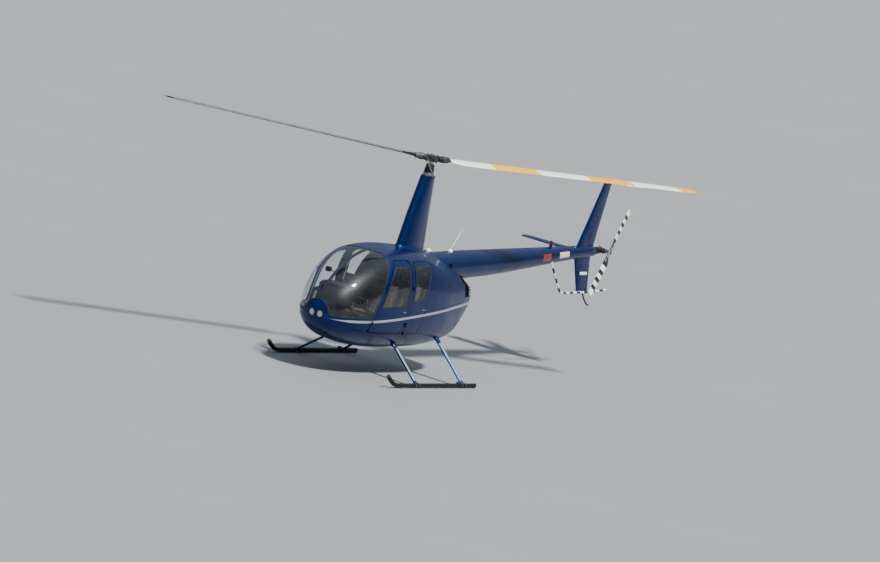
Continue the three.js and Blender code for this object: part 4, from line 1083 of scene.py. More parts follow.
def surface_turn(normal):
    """Axes on a side surface: aft, up and off the surface."""
    aft = (Vector((1, 0, 0)) - normal * normal.x).normalized()
    return Matrix((aft, normal.cross(aft), normal)).transposed()


def add_windshield(glass):
    for name, side in SIDES:
        cutter = prism(windshield_outline(PANE_GAP), *side_range(side, BOW_HALF + PANE_GAP))
        combined(cutter, "DIFFERENCE", nose_cap(PANE_GAP))
        add_pane(glass, cutter, f"windshield_pane_{name}", "fuselage", f"windshield_{name}", GLASS_TRIM)


def add_cabin_fittings():
    """The frame's half of the door hinges, and the gaskets in the door gaps."""
    hinges = Piece("cabin_hinges", BLUE_PLAIN)
    for side in BOTH:
        for door in DOORS:
            for place in (0, 1):
                add_frame_hinge(hinges, door, side, place, 0)
    hinges.done("fuselage")
    gaskets = Piece("door_gaskets", BLUE_PLAIN)
    for side in BOTH:
        for door in DOORS.values():
            outline = inset(rounded(door["outline"], OPENING_CORNER), 0.0045)
            line = [pod_side(x, z, side) for x, z in outline]
            add_band(gaskets, even(line, 0.02), GASKET_PROFILE)
    gaskets.done("fuselage")


# Engine cowls
def cowl_outlines():
    belt = [p for p in BELT if p[0] >= CABIN_END]
    belt[0] = (CABIN_END + SEAM, belt[0][1])
    front, rear = UPPER_COWL_SEAM
    front = (CABIN_END + SEAM, front[1])
    up = [(x, z + SEAM) for x, z in (front, rear)]
    down = [(x, z - SEAM) for x, z in (rear, front)]
    return {
            "upper_cowl": up + [(FAR_REAR, FAR_TOP), (CABIN_END + SEAM, FAR_TOP)],
            "side_cowl": [(x, z + SEAM) for x, z in belt] + down,
            "belly_cowl": [(x, z - SEAM) for x, z in belt] + [(FAR_REAR, FAR_BOTTOM),
                                                              (CABIN_END + SEAM, FAR_BOTTOM)],
    }


def add_cowls(shell):
    outlines = cowl_outlines()
    cone = tail_cone_cutter(0.0015)
    behind = block_cutter((COWL_END, -FAR_SIDE, LOUVRE_FOOT), (FAR_REAR, FAR_SIDE, FAR_TOP))
    for name in ("upper_cowl", "belly_cowl"):
        cowl = combined(copied(shell, f"{name}_skin"), "INTERSECT",
                        prism(outlines[name], -FAR_SIDE, FAR_SIDE))
        if name == "belly_cowl":
            combined(cowl, "DIFFERENCE",
                     rod_cutter((0.72, 0.25, 0.6), (0.80, 0.33, 0.38), EXHAUST_RADIUS + 0.004))
        else:
            combined(cowl, "DIFFERENCE", cone, behind)
        shade_pod(cowl, BLUE, TRIM)
        settle(cowl, "fuselage", (name,))
    for name, side in SIDES:
        cowl = combined(copied(shell, f"side_cowl_skin_{name}"), "INTERSECT",
                        prism(outlines["side_cowl"], *side_range(side, 0.06)))
        combined(cowl, "DIFFERENCE", cone, behind)
        shade_pod(cowl, BLUE, TRIM)
        settle(cowl, "fuselage", (f"side_cowl_{name}",))
    add_side_louvres(cone)


LOUVRES = {"low": 1.250, "high": 1.535, "step": 0.0225, "rear": 1.572, "drop": 0.012, "thickness": 0.006}


def add_side_louvres(cone):
    """Dark plates that carry the pod's form aft of the cowls, one over the other."""
    band = combined(pod_solid(0, 4, 160), "DIFFERENCE", pod_solid(WALL + 0.022, 8, 80, POD_TAIL))
    front, rear, drop, thickness = COWL_END + SEAM, LOUVRES["rear"], LOUVRES["drop"], LOUVRES["thickness"]
    points, faces = [], []
    for z in np.arange(LOUVRES["low"], LOUVRES["high"], LOUVRES["step"]):
        outline = [(front, z), (rear, z - drop), (rear, z - drop + thickness), (front, z + thickness)]
        plate = combined(copied(band, "cutter"), "INTERSECT", prism(outline, -FAR_SIDE, FAR_SIDE))
        combined(plate, "DIFFERENCE", cone)
        start = len(points)
        points += [v.co.copy() for v in plate.data.vertices]
        faces += [tuple(start + i for i in face.vertices) for face in plate.data.polygons]
    louvres = new_object("side_louvres", points, faces)
    shade_pod(louvres, DEEP_BLACK)
    settle(louvres, "fuselage", ("rear_grille",))


EXHAUST_RADIUS = 0.038


def build_pod():
    outer = pod_solid(0, 4, 160)
    inner = pod_solid(WALL, 8, 80, POD_TAIL)
    shell = combined(outer, "DIFFERENCE", inner)
    glass = combined(pod_solid(GLASS_DEPTH, 4, 160), "DIFFERENCE",
                     pod_solid(GLASS_DEPTH + GLASS_THICKNESS, 4, 160, POD_TAIL))
    holes = [door_cutter(door, side, 0, OPENING_CORNER) for door in DOORS for side in BOTH]
    cabin_shell(shell, holes)
    add_cabin_fittings()
    add_windshield(glass)
    add_doors(shell, glass)
    add_cowls(shell)
    drop_cutters()


# Streamlined forms
FOIL_LENGTH = 0.985  # share of the chord that a section fills


def foil(chord, thickness, points=15):
    """Closed streamlined section: distances aft of the leading edge and to either side of the chord."""
    shares = [(1 - math.cos(math.pi * k / points)) / 2 for k in range(points + 1)]
    half = [5 * thickness * (0.2969 * math.sqrt(t) - 0.1260 * t - 0.3516 * t ** 2
                             + 0.2843 * t ** 3 - 0.1015 * t ** 4) for t in shares]
    upper = [(t * chord * FOIL_LENGTH, h) for t, h in zip(shares, half)]
    lower = [(a, -h) for a, h in upper[1:-1][::-1]]
    return upper + lower


def foil_side(chord, thickness, share):
    """How far aft and how far out the side of a section is at a share of its chord."""
    profile = foil(chord, thickness)[:16]
    along = share * chord * FOIL_LENGTH
    return along, float(np.interp(along, [p[0] for p in profile], [p[1] for p in profile]))


def wing_rings(rows, steps, across):
    """Sections from root to tip; each row has the leading edge, the chord and the thickness."""
    rings = []
    for x, y, z, chord, thickness in resampled(rows, steps):
        rings.append([Vector((x + a, y + t, z) if across == "y" else (x + a, y, z + t)) for a,
                      t in foil(chord, thickness)])
    return rings


def resampled(rows, steps):
    rows = np.array(rows, float)
    marks = np.linspace(0, len(rows) - 1, (len(rows) - 1) * steps + 1)
    columns = [np.interp(marks, np.arange(len(rows)), column) for column in rows.T]
    return np.stack(columns, axis=1)


def rounded_tip(rows, reach, axis, steps=5):
    """Adds ever smaller sections past the last row, for a rounded tip."""
    made = [list(row) for row in rows]
    x, chord, thickness = made[-1][0], made[-1][3], made[-1][4]
    for k in range(1, steps + 1):
        a = math.pi / 2 * k / steps * 0.96
        row = list(made[-1])
        row[axis] = rows[-1][axis] + reach * math.sin(a)
        row[3] = chord * (0.72 + 0.28 * math.cos(a))
        row[4] = max(thickness * math.cos(a), 0.002)
        row[0] = x + (chord - row[3]) * 0.55
        made.append(row)
    return made


# Tail
BAY_JOINTS = (1.62, 2.30, 2.95, 3.60, 4.20, 4.80, 5.30)
LAP_ROW = 0.011  # from a joint to a row of its rivets
LAP_PITCH = 0.028  # between the rivets of a row
KEEL_RIVETS = math.radians(128)  # from the top of the cone down to the seam's rivets
# Plain patches on the cone's sides: material slot, front and rear end, upper and lower angle in degrees
PATCHES = ((0, 3.925, 4.216, 28.7, -18.1), (1, 4.466, 4.802, 30.8, -13.2))


def cone_at(x):
    """Height of the tail cone's middle and its radius at a station."""
    return [float(np.interp(x, CONE_CURVE[:, 0], CONE_CURVE[:, i])) for i in (1, 2)]


CONE_CURVE = smooth_rows(CONE, 10)


def cone_point(x, angle, off=0.0):
    """Point on the tail cone's side; the angle is above the horizontal, seen from either side."""
    z, radius = cone_at(x)
    return Vector((x, math.cos(angle) * (radius + off), z + math.sin(angle) * (radius + off)))


def cone_ring(x, off=0.0, sides=CONE_SIDES):
    return [cone_point(x, a, off) for a in circle(sides)]


def add_cone_rivet(piece, x, spot, height):
    piece.stud(spot, spot - Vector((spot.x, 0, cone_at(x)[0])), 0.0026, height, 6)


def add_tail_cone():
    cone = Piece("tail_cone_skin", BLUE_PLAIN)
    rings = [cone_ring(x) for x in np.linspace(CONE[0][0], CONE_END - 0.008, 76)]
    rings.append(cone_ring(CONE_END, -0.006))
    cone.loft(rings)
    cone.done("fuselage", ("tail_cone",))
    laps = Piece("tail_cone_laps", BLUE_PLAIN)
    for x in BAY_JOINTS:
        profile = [(x - 0.020, -0.001), (x - 0.019, 0.0008), (x + 0.019, 0.0008), (x + 0.020, -0.001)]
        laps.loft([cone_ring(px, off) for px, off in profile], looped=True)
        for a in circle(int(2 * math.pi * cone_at(x)[1] / LAP_PITCH)):
            for row in (-LAP_ROW, LAP_ROW):
                add_cone_rivet(laps, x, cone_point(x + row, a, 0.0006), 0.0011)
    for side in BOTH:
        for x in np.arange(1.66, 5.25, 0.03):
            if min(abs(x - joint) for joint in BAY_JOINTS) > 0.022:
                add_cone_rivet(laps, x, cone_point(x, math.pi / 2 - side * KEEL_RIVETS), 0.0010)
    laps.done("fuselage")


def add_cone_patches():
    """Plain coloured patches on the tail cone, and the dark mark of its vent."""
    patches = Piece("tail_cone_patches", RED, PINK, DEEP_BLACK)
    for slot, x0, x1, high, low in PATCHES:
        for side in BOTH:
            rows = []
            for x in np.linspace(x0, x1, 12):
                angles = np.radians(np.linspace(low, high, 10))
                rows.append([mirrored(cone_point(x, a, 0.0006), side) for a in angles])
            patches.sheet(rows, 0.0012 * side, slot)
    vent = cone_point(0.945, math.radians(14), 0.001)
    patches.block(mirrored(vent, PORT), (0.034, 0.012, 0.092), None, 0.004, 2)
    patches.done("fuselage")


def mirrored(point, side):
    return Vector((point[0], side * point[1], point[2]))


UPPER_FIN = [(5.125, 0, 1.880, 0.550, 0.060), (5.165, 0, 1.985, 0.530, 0.058),
             (5.570, 0, 2.935, 0.250, 0.036)]
LOWER_FIN = [(5.085, 0, 1.900, 0.595, 0.052), (5.165, 0, 1.770, 0.515, 0.048),
             (5.450, 0, 1.268, 0.370, 0.034)]
STABILIZER_Z = 1.885
SKIN_RIVET = (0.0024, 0.0009, 6)  # radius, height and sides
STABILIZER = [(5.060, 0.010, STABILIZER_Z, 0.370, 0.046), (5.115, 0.945, STABILIZER_Z, 0.330, 0.034)]


def fin_point(rows, height, share, side, off=0.0):
    """Point on a fin's side at a height and a share of the chord."""
    table = np.array(sorted(rows, key=lambda row: row[2]))
    x, chord, thickness = (float(np.interp(height, table[:, 2], table[:, i])) for i in (0, 3, 4))
    along, half = foil_side(chord, thickness, share)
    return Vector((x + along, side * (half + off), height))


def add_fin_rivets(piece, rows, side, heights):
    for height in heights:
        for share in (0.14, 0.55, 0.86):
            piece.stud(fin_point(rows, height, share, side), (0, side, 0), *SKIN_RIVET)


def add_upper_fin():
    upper = Piece("upper_fin_skin", BLUE_PLAIN)
    upper.loft(wing_rings(UPPER_FIN, 10, "y"))
    x, _, z, chord, _ = UPPER_FIN[-1]
    cap = [(x - 0.010, 0, z - 0.002, chord + 0.022, 0.046), (x - 0.012, 0, z + 0.008, chord + 0.026, 0.052),
           (x - 0.004, 0, z + 0.015, chord + 0.010, 0.034)]
    upper.loft(wing_rings(cap, 3, "y"))
    for side in BOTH:
        add_fin_rivets(upper, UPPER_FIN, side, np.arange(2.02, 2.91, 0.035))
    upper.done("fuselage", ("upper_fin",))


def add_lower_fin():
    lower = Piece("lower_fin_skin", BLUE_PLAIN, WHITE)
    lower.loft(wing_rings(LOWER_FIN, 10, "y"))
    x, _, z, chord, _ = LOWER_FIN[-1]
    base = [(x - 0.006, 0, z + 0.003, chord + 0.012, 0.040), (x - 0.006, 0, z - 0.006, chord + 0.012, 0.042),
            (x, 0, z - 0.009, chord, 0.030)]
    lower.loft(wing_rings(base, 2, "y"))
    for side in BOTH:
        add_fin_rivets(lower, LOWER_FIN, side, np.arange(1.30, 1.72, 0.032))
        rows = [[fin_point(LOWER_FIN, height, share, side, 0.0004) for share in np.linspace(0.28, 0.84, 12)]
                for height in np.linspace(1.515, 1.560, 4)]
        lower.sheet(rows, -0.001 * side, 1)
    lower.done("fuselage", ("lower_fin",))


def add_stabilizer():
    tail = Piece("stabilizer_skin", BLUE_PLAIN)
    tail.loft(wing_rings(rounded_tip(resampled(STABILIZER, 8), 0.010, 1), 1, "z"))
    for y in np.arange(0.20, 0.93, 0.036):
        for share in (0.15, 0.55, 0.86):
            for side in BOTH:
                table = np.array(STABILIZER)
                x, chord, thickness = (float(np.interp(y, table[:, 1], table[:, i])) for i in (0, 3, 4))
                along, half = foil_side(chord, thickness, share)
                tail.stud((x + along, y, STABILIZER_Z + side * half), (0, 0, side), *SKIN_RIVET)
    root = [(5.055, 0.082, STABILIZER_Z, 0.384, 0.060), (5.057, 0.120, STABILIZER_Z, 0.380, 0.056),
            (5.060, 0.135, STABILIZER_Z, 0.372, 0.048)]
    tail.loft(wing_rings(root, 3, "z"))
    tail.done("fuselage", ("stabilizer",))


GUARD = [(4.290, -0.100, 1.722), (4.410, -0.098, 1.590), (4.640, -0.090, 1.385), (4.780, -0.080, 1.272),
         (4.900, -0.070, 1.238), (5.200, -0.060, 1.240), (5.500, -0.056, 1.247), (5.900, -0.062, 1.268),
         (6.250, -0.080, 1.300)]
TAIL_SKID = [(5.640, 0, 1.250), (5.690, 0, 1.215), (5.790, 0, 1.120), (5.880, 0, 1.060), (5.965, 0, 1.032)]
BAND_LENGTH = 0.115
GUARD_RADIUS = 0.016


def add_tail_guard():
    """Tube that keeps people off the tail rotor, in black and white bands."""
    guard = Piece("tail_guard_tube", WHITE, SATIN, METAL)
    line = even([Vector(p) for p in smooth_rows(GUARD, 12)], 0.005, closed=False)
    runs = [0.0]
    for a, b in zip(line, line[1:]):
        runs.append(runs[-1] + (b - a).length)
    start = 0
    for k in range(int(runs[-1] / BAND_LENGTH) + 1):
        end = max(i for i, run in enumerate(runs) if run <= (k + 1) * BAND_LENGTH)
        if end > start:
            guard.tube(line[start:end + 1], GUARD_RADIUS - (0 if k % 2 else 0.0002), 20, k % 2)
        start = end
    guard.turned(line[-1], line[-1] - line[-4],
                 [(-0.002, GUARD_RADIUS), (0.006, GUARD_RADIUS * 0.8), (0.010, 0.004)], 20, 1)
    root = line[0]
    guard.block(root + Vector((0.012, 0.012, 0.010)), (0.110, 0.012, 0.070), None, 0.003, 2)
    for x, z in ((-0.030, 0.030), (0.055, 0.030), (-0.030, -0.012), (0.055, -0.012)):
        guard.stud(root + Vector((x, 0.006, z)), (0, -1, 0), 0.006, 0.004, 6, 2)
    guard.block((5.610, -0.021, 1.2585), (0.178, 0.070, 0.003), None, 0.001, 0)
    guard.block((5.610, -0.021, 1.2335), (0.178, 0.070, 0.003), None, 0.001, 0)
    for x in (5.535, 5.610, 5.685):
        for y in (-0.050, 0.006):
            guard.rod((x, y, 1.230), (x, y, 1.264), 0.005, sides=8, slot=2)
    for x in (5.540, 5.680):
        guard.tube([(x, -0.056 + 0.020 * math.cos(a), 1.250 + 0.020 * math.sin(a))
                    for a in circle(16)], 0.0035, 8, 2, looped=True)
    skid = [Vector(p) for p in smooth_rows(TAIL_SKID, 6)]
    guard.tube(skid, [0.013] * (len(skid) - 1) + [0.011], 18, 1)
    guard.turned(skid[-1], skid[-1] - skid[-2], [(-0.002, 0.0125), (0.003, 0.0105), (0.006, 0.004)], 18, 1)
    guard.done("fuselage", ("tail_guard",))


def add_tail_gearbox():
    box = Piece("tail_gearbox_case", SATIN, METAL, STEEL)
    z = TAIL_HUB.z
    root = Vector((CONE_END + 0.0003, 0, CONE[-1][1]))
    run = (Vector((5.985, 0, z)) - root).normalized()
    box.turned(root, (1, 0, 0), [(0, 0.068), (0.008, 0.070), (0.014, 0.070), (0.018, 0.060)], 40)
    box.turned(root, run, [(0.010, 0.056), (0.040, 0.052), (0.120, 0.046), (0.165, 0.048), (0.180, 0.052),
                           (0.235, 0.052), (0.262, 0.049), (0.280, 0.040), (0.290, 0.020)], 40)
    for k in range(8):
        a = 2 * math.pi * (k + 0.5) / 8
        spot = root + Vector((0.013, 0.063 * math.cos(a), 0.063 * math.sin(a)))
        box.stud(spot, (1, 0, 0), 0.005, 0.007, 6, 1)
    for k in range(6):
        box.turned(root + run * (0.050 + k * 0.014), run,
                   [(0, 0.046), (0.0005, 0.056), (0.004, 0.056), (0.0045, 0.046)], 32)
    box.turned((TAIL_HUB.x, -0.030, z), (0, -1, 0),
               [(0, 0.042), (0.040, 0.042), (0.050, 0.046), (0.058, 0.046),
                (0.064, 0.037), (0.100, 0.034), (0.105, 0.030)], 32)
    for a in circle(6):
        box.stud((TAIL_HUB.x + 0.040 * math.cos(a), -0.090, z + 0.040 * math.sin(a)), (0, -1, 0), 0.004,
                 0.005, 6, 1)
    box.rod((5.900, 0.0, z + 0.040), (5.900, 0.0, z + 0.068), 0.010, 0.010, 16, 1, 0.002)
    box.rod((5.930, 0.030, z - 0.034), (5.930, 0.052, z - 0.042), 0.011, 0.011, 20, 2, 0.002)
    box.done("fuselage", ("tail_gearbox",))


# Rotors
BLADE_COLUMNS = np.array([(0.330, 0.42, 9.5, 1.7), (0.520, 1, 9.0, 1), (2.800, 1, 6.0, 1),
                          (4.700, 1, 4.0, 0.95), (5.029, 0.82, 4.0, 0.7)])
TAIL_COLUMNS = np.array([(0.095, 0.55, 12, 1.6), (0.170, 1, 11, 1), (0.737, 0.95, 6, 0.8)])
BLADE_THICKNESS = 0.032
TAIL_BLADE_THICKNESS = 0.017
LEAD_SHARE = 0.27  # of the chord ahead of the blade's axis
MAIN_BANDS = [(0.219, 0), (0.393, 1), (0.588, 0), (0.755, 1), (0.935, 0), (1.01, 1)]
TAIL_BANDS = [(0.225, 1), (0.310, 0), (0.378, 1), (0.444, 0), (0.512, 1), (0.580, 0), (0.646, 1), (0.74, 0)]


def blade_ring(columns, r, chord, thickness, turn, grow=0.0):
    share, pitch, thick = (float(np.interp(r, columns[:, 0], columns[:, i])) for i in (1, 2, 3))
    angle = math.radians(pitch)
    ring = []
    for along, up in foil(chord * share + grow, thickness * thick + grow):
        forward = LEAD_SHARE * chord * share - along + grow * 0.3
        ring.append(turn @ Vector((r, forward * math.cos(angle) - up * math.sin(angle),
                                   forward * math.sin(angle) + up * math.cos(angle))))
    return ring


def main_ring(r, matrix, grow=0.0):
    return blade_ring(BLADE_COLUMNS, r, ROTOR_CHORD, BLADE_THICKNESS, matrix, grow)


def pinched(ring, share):
    """A section drawn in towards its middle."""
    middle = sum(ring, Vector()) / len(ring)
    return [middle + (p - middle) * share for p in ring]


def banded(stations, bands):
    """Stations with one at the end of each band, and the slot of each step between them."""
    ends = [end for end, _ in bands[:-1]]
    stations = sorted(set(stations) | set(e for e in ends if stations[0] < e < stations[-1]))
    slots = [next(slot for end, slot in bands if (a + b) / 2 <= end) for a, b in zip(stations, stations[1:])]
    return stations, slots


ROTOR_BLADES = (("aft", 0.0, CONING + TEETER), ("forward", math.pi, CONING - TEETER))


def rotor_turn(turn, lift):
    place = Matrix.Translation((0, 0, HUB_Z)) @ Matrix.Rotation(ROTOR_AZIMUTH + turn, 4, "Z")
    return place @ Matrix.Rotation(-lift, 4, "Y")


def add_main_blades():
    for name, turn, lift in ROTOR_BLADES:
        matrix = rotor_turn(turn, lift)
        aft = name == "aft"
        look = [WHITE, YELLOW, METAL] if aft else [BLADE_GREY, SATIN, METAL]
        edging = 0 if aft else 2
        blade = Piece(f"main_blade_skin_{name}", *look)
        inboard, outboard = list(np.linspace(0.330, 0.520, 10)), list(np.linspace(0.60, 4.98, 46))
        bands = [(end * ROTOR_RADIUS, slot) for end, slot in MAIN_BANDS] if aft else [(9.0, 0)]
        stations, slots = banded(inboard + outboard + [5.000, 5.015, 5.024, 5.029], bands)
        rings = [main_ring(r, matrix) for r in stations]
        rings[-1] = pinched(rings[-1], 0.82)
        blade.loft(rings, slots)
        edge = [main_ring(r, matrix, 0.0008) for r in np.linspace(0.62, 5.0, 30)]
        nose = [[ring[i] for i in (3, 2, 1, 0, -1, -2, -3)] for ring in edge]
        core = [[p + (ring[8] - p) * 0.01 for p in strip[::-1]] for ring, strip in zip(edge, nose)]
        blade.loft([a + b for a, b in zip(nose, core)], edging)
        tab = [main_ring(r, matrix)[15] for r in (3.62, 3.92)]
        back = (matrix.to_3x3() @ Vector((0, -1, -0.16))).normalized()
        up = matrix.to_3x3() @ UP
        blade.loft([[p - back * 0.004 + up * 0.0008, p + back * 0.030 + up * 0.0006,
                     p + back * 0.030 - up * 0.0006, p - back * 0.004 - up * 0.0008] for p in tab], edging)
        for r in (0.56, 0.60, 0.64):
            ring = main_ring(r, matrix)
            for i in (5, 8, 11, -5, -8, -11):
                side = up if i > 0 else -up
                blade.stud(ring[i], side, 0.006, 0.002, 8, 2)
        blade.done("main_rotor", (f"main_blade_{name}",))


def add_grips():
    for name, turn, lift in ROTOR_BLADES:
        matrix = rotor_turn(turn, lift)
        turn3 = matrix.to_3x3()
        grip = Piece(f"blade_grip_case_{name}", HUB_METAL, SATIN, STEEL)

        def at(x, y=0.0, z=0.0):
            return matrix @ Vector((x, y, z))
        axis = turn3 @ Vector((1, 0, 0))
        grip.turned(at(0.1203), axis, [(0, 0.036), (0.004, 0.045), (0.016, 0.046), (0.022, 0.040),
                                       (0.030, 0.046), (0.038, 0.040), (0.046, 0.046), (0.054, 0.040),
                                       (0.062, 0.046), (0.068, 0.046)], 32, 1)
        grip.turned(at(0.188), axis, [(0, 0.044), (0.003, 0.052), (0.030, 0.052), (0.048, 0.048),
                                      (0.090, 0.042), (0.112, 0.040), (0.120, 0.039), (0.134, 0.036),
                                      (0.1417, 0.034)], 32)
        for a in circle(10):
            place = at(0.192, 0.046 * math.cos(a), 0.046 * math.sin(a))
            grip.stud(place, -axis, 0.0045, 0.005, 6, 2)
        for x in (0.262, 0.300):
            for up in BOTH:
                grip.stud(at(x, 0, up * 0.040), turn3 @ Vector((0, 0, up)), 0.008, 0.010, 6, 2)
        horn = [[(0.176, 0.040, 0.011), (0.224, 0.040, 0.011), (0.224, 0.040, -0.011),
                 (0.176, 0.040, -0.011)],
                [(0.184, 0.090, 0.011), (0.216, 0.090, 0.011), (0.216, 0.090, -0.011),
                 (0.184, 0.090, -0.011)],
                [(0.188, 0.138, 0.010), (0.212, 0.138, 0.010), (0.212, 0.138, -0.010),
                 (0.188, 0.138, -0.010)]]
        grip.loft([[at(*p) for p in ring] for ring in horn])
        grip.rod(at(0.200, 0.134, -0.0118), at(0.200, 0.134, 0.0118), 0.0155, sides=24, edge=0.002)
        grip.rod(at(0.200, 0.134, 0.010), at(0.200, 0.134, 0.016), 0.007, sides=6, slot=2)
        grip.done("main_rotor", (f"blade_grip_{name}",))


def add_hub():
    hub = Piece("rotor_hub_block", HUB_METAL, STEEL, SATIN)
    turn = Matrix.Rotation(ROTOR_AZIMUTH, 4, "Z") @ Matrix.Rotation(-TEETER, 4, "Y")
    matrix = Matrix.Translation((0, 0, HUB_Z)) @ turn
    turn3 = turn.to_3x3()

    def at(x, y=0.0, z=0.0):
        return matrix @ Vector((x, y, z))
    for up in BOTH:
        plate = [(-0.117, 0.030), (-0.112, 0.038), (-0.070, 0.040), (-0.058, 0.054), (0.058, 0.054),
                 (0.070, 0.040), (0.112, 0.038), (0.117, 0.030)]
        loop = plate + [(x, -y) for x, y in plate[::-1]]
        low, high = sorted((up * 0.016, up * 0.033))
        hub.loft([[at(x * 0.97, y * 0.97, low) for x, y in loop],
                  [at(x, y, low + 0.003) for x, y in loop], [at(x, y, high - 0.003) for x, y in loop],
                  [at(x * 0.97, y * 0.97, high) for x, y in loop]])
    hub.block(at(0), (0.116, 0.110, 0.094), turn3, 0.008)
    hub.block(at(0), (0.224, 0.060, 0.034), turn3, 0.004, 2)
    for x in (-0.092, 0.092):
        hub.rod(at(x, 0, -0.058), at(x, 0, 0.064), 0.013, sides=6, slot=1, edge=0.002)
        hub.turned(at(x, 0, -0.048), turn3 @ UP,
                   [(0, 0.017), (0.003, 0.020), (0.093, 0.020), (0.096, 0.017)], 24, 2)
        hub.turned(at(x, 0, -0.036), turn3 @ UP, [(0, 0.020), (0.072, 0.020)], 24, 1)
    for y in BOTH:
        hub.turned(at(0, y * 0.050, 0), turn3 @ Vector((0, y, 0)),
                   [(0, 0.044), (0.003, 0.047), (0.015, 0.047), (0.018, 0.042), (0.018, 0.026),
                    (0.026, 0.026), (0.028, 0.022), (0.028, 0.015), (0.036, 0.015), (0.038, 0.012)], 28, 2)
        for a in circle(8):
            place = at(0.036 * math.cos(a), y * 0.068, 0.036 * math.sin(a))
            hub.stud(place, turn3 @ Vector((0, y, 0)), 0.0042, 0.005, 6, 1)
    hub.done("main_rotor", ("rotor_hub",))


def add_mast():
    mast = Piece("rotor_mast_tube", METAL, SATIN, STEEL)
    collar = [(0.039, 0.030), (0.041, 0.030), (0.043, 0.038), (0.049, 0.040), (0.051, 0.044), (0.064, 0.044),
              (0.066, 0.040)]
    profile = [(FAIRING_TOP - 0.155, 0.030)] + [(HUB_Z + up, r) for up, r in collar]
    mast.turned((0, 0, 0), (0, 0, 1), profile, 40)
    mast.rod((0, 0, HUB_Z + 0.0525), (0, 0, HUB_Z + 0.0658), 0.030, sides=6, slot=2, edge=0.002)
    boot = [(0, 0.070), (0.004, 0.079)]
    for k in range(9):
        boot += [(0.010 + k * 0.013, 0.070 - k * 0.0012), (0.0165 + k * 0.013, 0.079 - k * 0.0016)]
    boot += [(0.128, 0.058), (0.136, 0.046)]
    mast.turned((0, 0, SWASH_Z + 0.0225), (0, 0, 1), boot, 40, 1)
    mast.done("main_rotor", ("rotor_mast",))


def ring_profile(inner, outer, low, high, edge):
    return [(low, inner), (low, outer - edge), (low + edge, outer), (high - edge, outer),
            (high, outer - edge), (high, inner)]


def add_swashplates():
    lower = Piece("swashplate_fixed", METAL, STEEL)
    profile = ring_profile(0.031, 0.092, FAIRING_TOP + 0.0005, SWASH_Z, 0.003)
    lower.turned((0, 0, 0), (0, 0, 1), profile, 48, looped=True)
    for a in circle(12):
        spot = (0.084 * math.cos(a), 0.084 * math.sin(a), SWASH_Z - 0.002)
        lower.stud(spot, (0, 0, 1), 0.004, 0.0035, 6, 1)
    for angle in (63, 183, 303):
        a = math.radians(angle)
        out = Vector((math.cos(a), math.sin(a), 0))
        middle = out * 0.112 + Vector((0, 0, SWASH_Z - 0.0075))
        lower.block(middle - out * 0.013, (0.032, 0.016, 0.012), Matrix.Rotation(a, 3, "Z"), 0.003)
        lower.rod(middle - Vector((0, 0, 0.0085)), middle + Vector((0, 0, 0.0085)), 0.0065, sides=16, slot=1)
    lower.done("fuselage", ("lower_swashplate",))
    upper = Piece("swashplate_turning", METAL, STEEL)
    for slot, sizes in enumerate(((0.031, 0.078, 0.0012, 0.0218, 0.003),
                                  (0.060, 0.0805, 0.0085, 0.014, 0.001))):
        upper.turned((0, 0, SWASH_Z), (0, 0, 1), ring_profile(*sizes), 48, slot, looped=True)
    for _, turn, lift in ROTOR_BLADES:
        angle = ROTOR_AZIMUTH + turn
        radial = Vector((math.cos(angle), math.sin(angle), 0))
        side = Vector((-math.sin(angle), math.cos(angle), 0))
        level = Vector((0, 0, SWASH_Z + 0.011))
        upper.rod(side * 0.070 + level, side * 0.104 + level, 0.0095, 0.008, 20, 0, 0.001)
        low = side * 0.112 + level
        high = radial * 0.200 + side * 0.132 + Vector((0, 0, HUB_Z - 0.017 + 0.200 * math.sin(lift)))
        run, length = (high - low).normalized(), (high - low).length
        upper.turned(low - side * 0.008, side, [(0, 0.008), (0.001, 0.011), (0.015, 0.011), (0.016, 0.008)],
                     20, 1)
        upper.tube([low + run * 0.006, low + run * 0.030], 0.0055, 14, 1)
        upper.turned(low + run * 0.026, run,
                     [(0, 0.0062), (0.003, 0.0082), (0.014, 0.0082), (0.016, 0.0072),
                      (length - 0.070, 0.0072), (length - 0.068, 0.0082), (length - 0.057, 0.0082),
                      (length - 0.054, 0.0062)], 16)
        upper.tube([high - run * 0.032, high - run * 0.006], 0.0055, 14, 1)
    upper.done("main_rotor", ("upper_swashplate",))


def tail_turn(turn):
    place = Matrix.Translation(TAIL_HUB) @ Matrix.Rotation(-TAIL_ANGLE - turn, 4, "Y")
    return place @ Matrix.Rotation(-math.pi / 2, 4, "X")


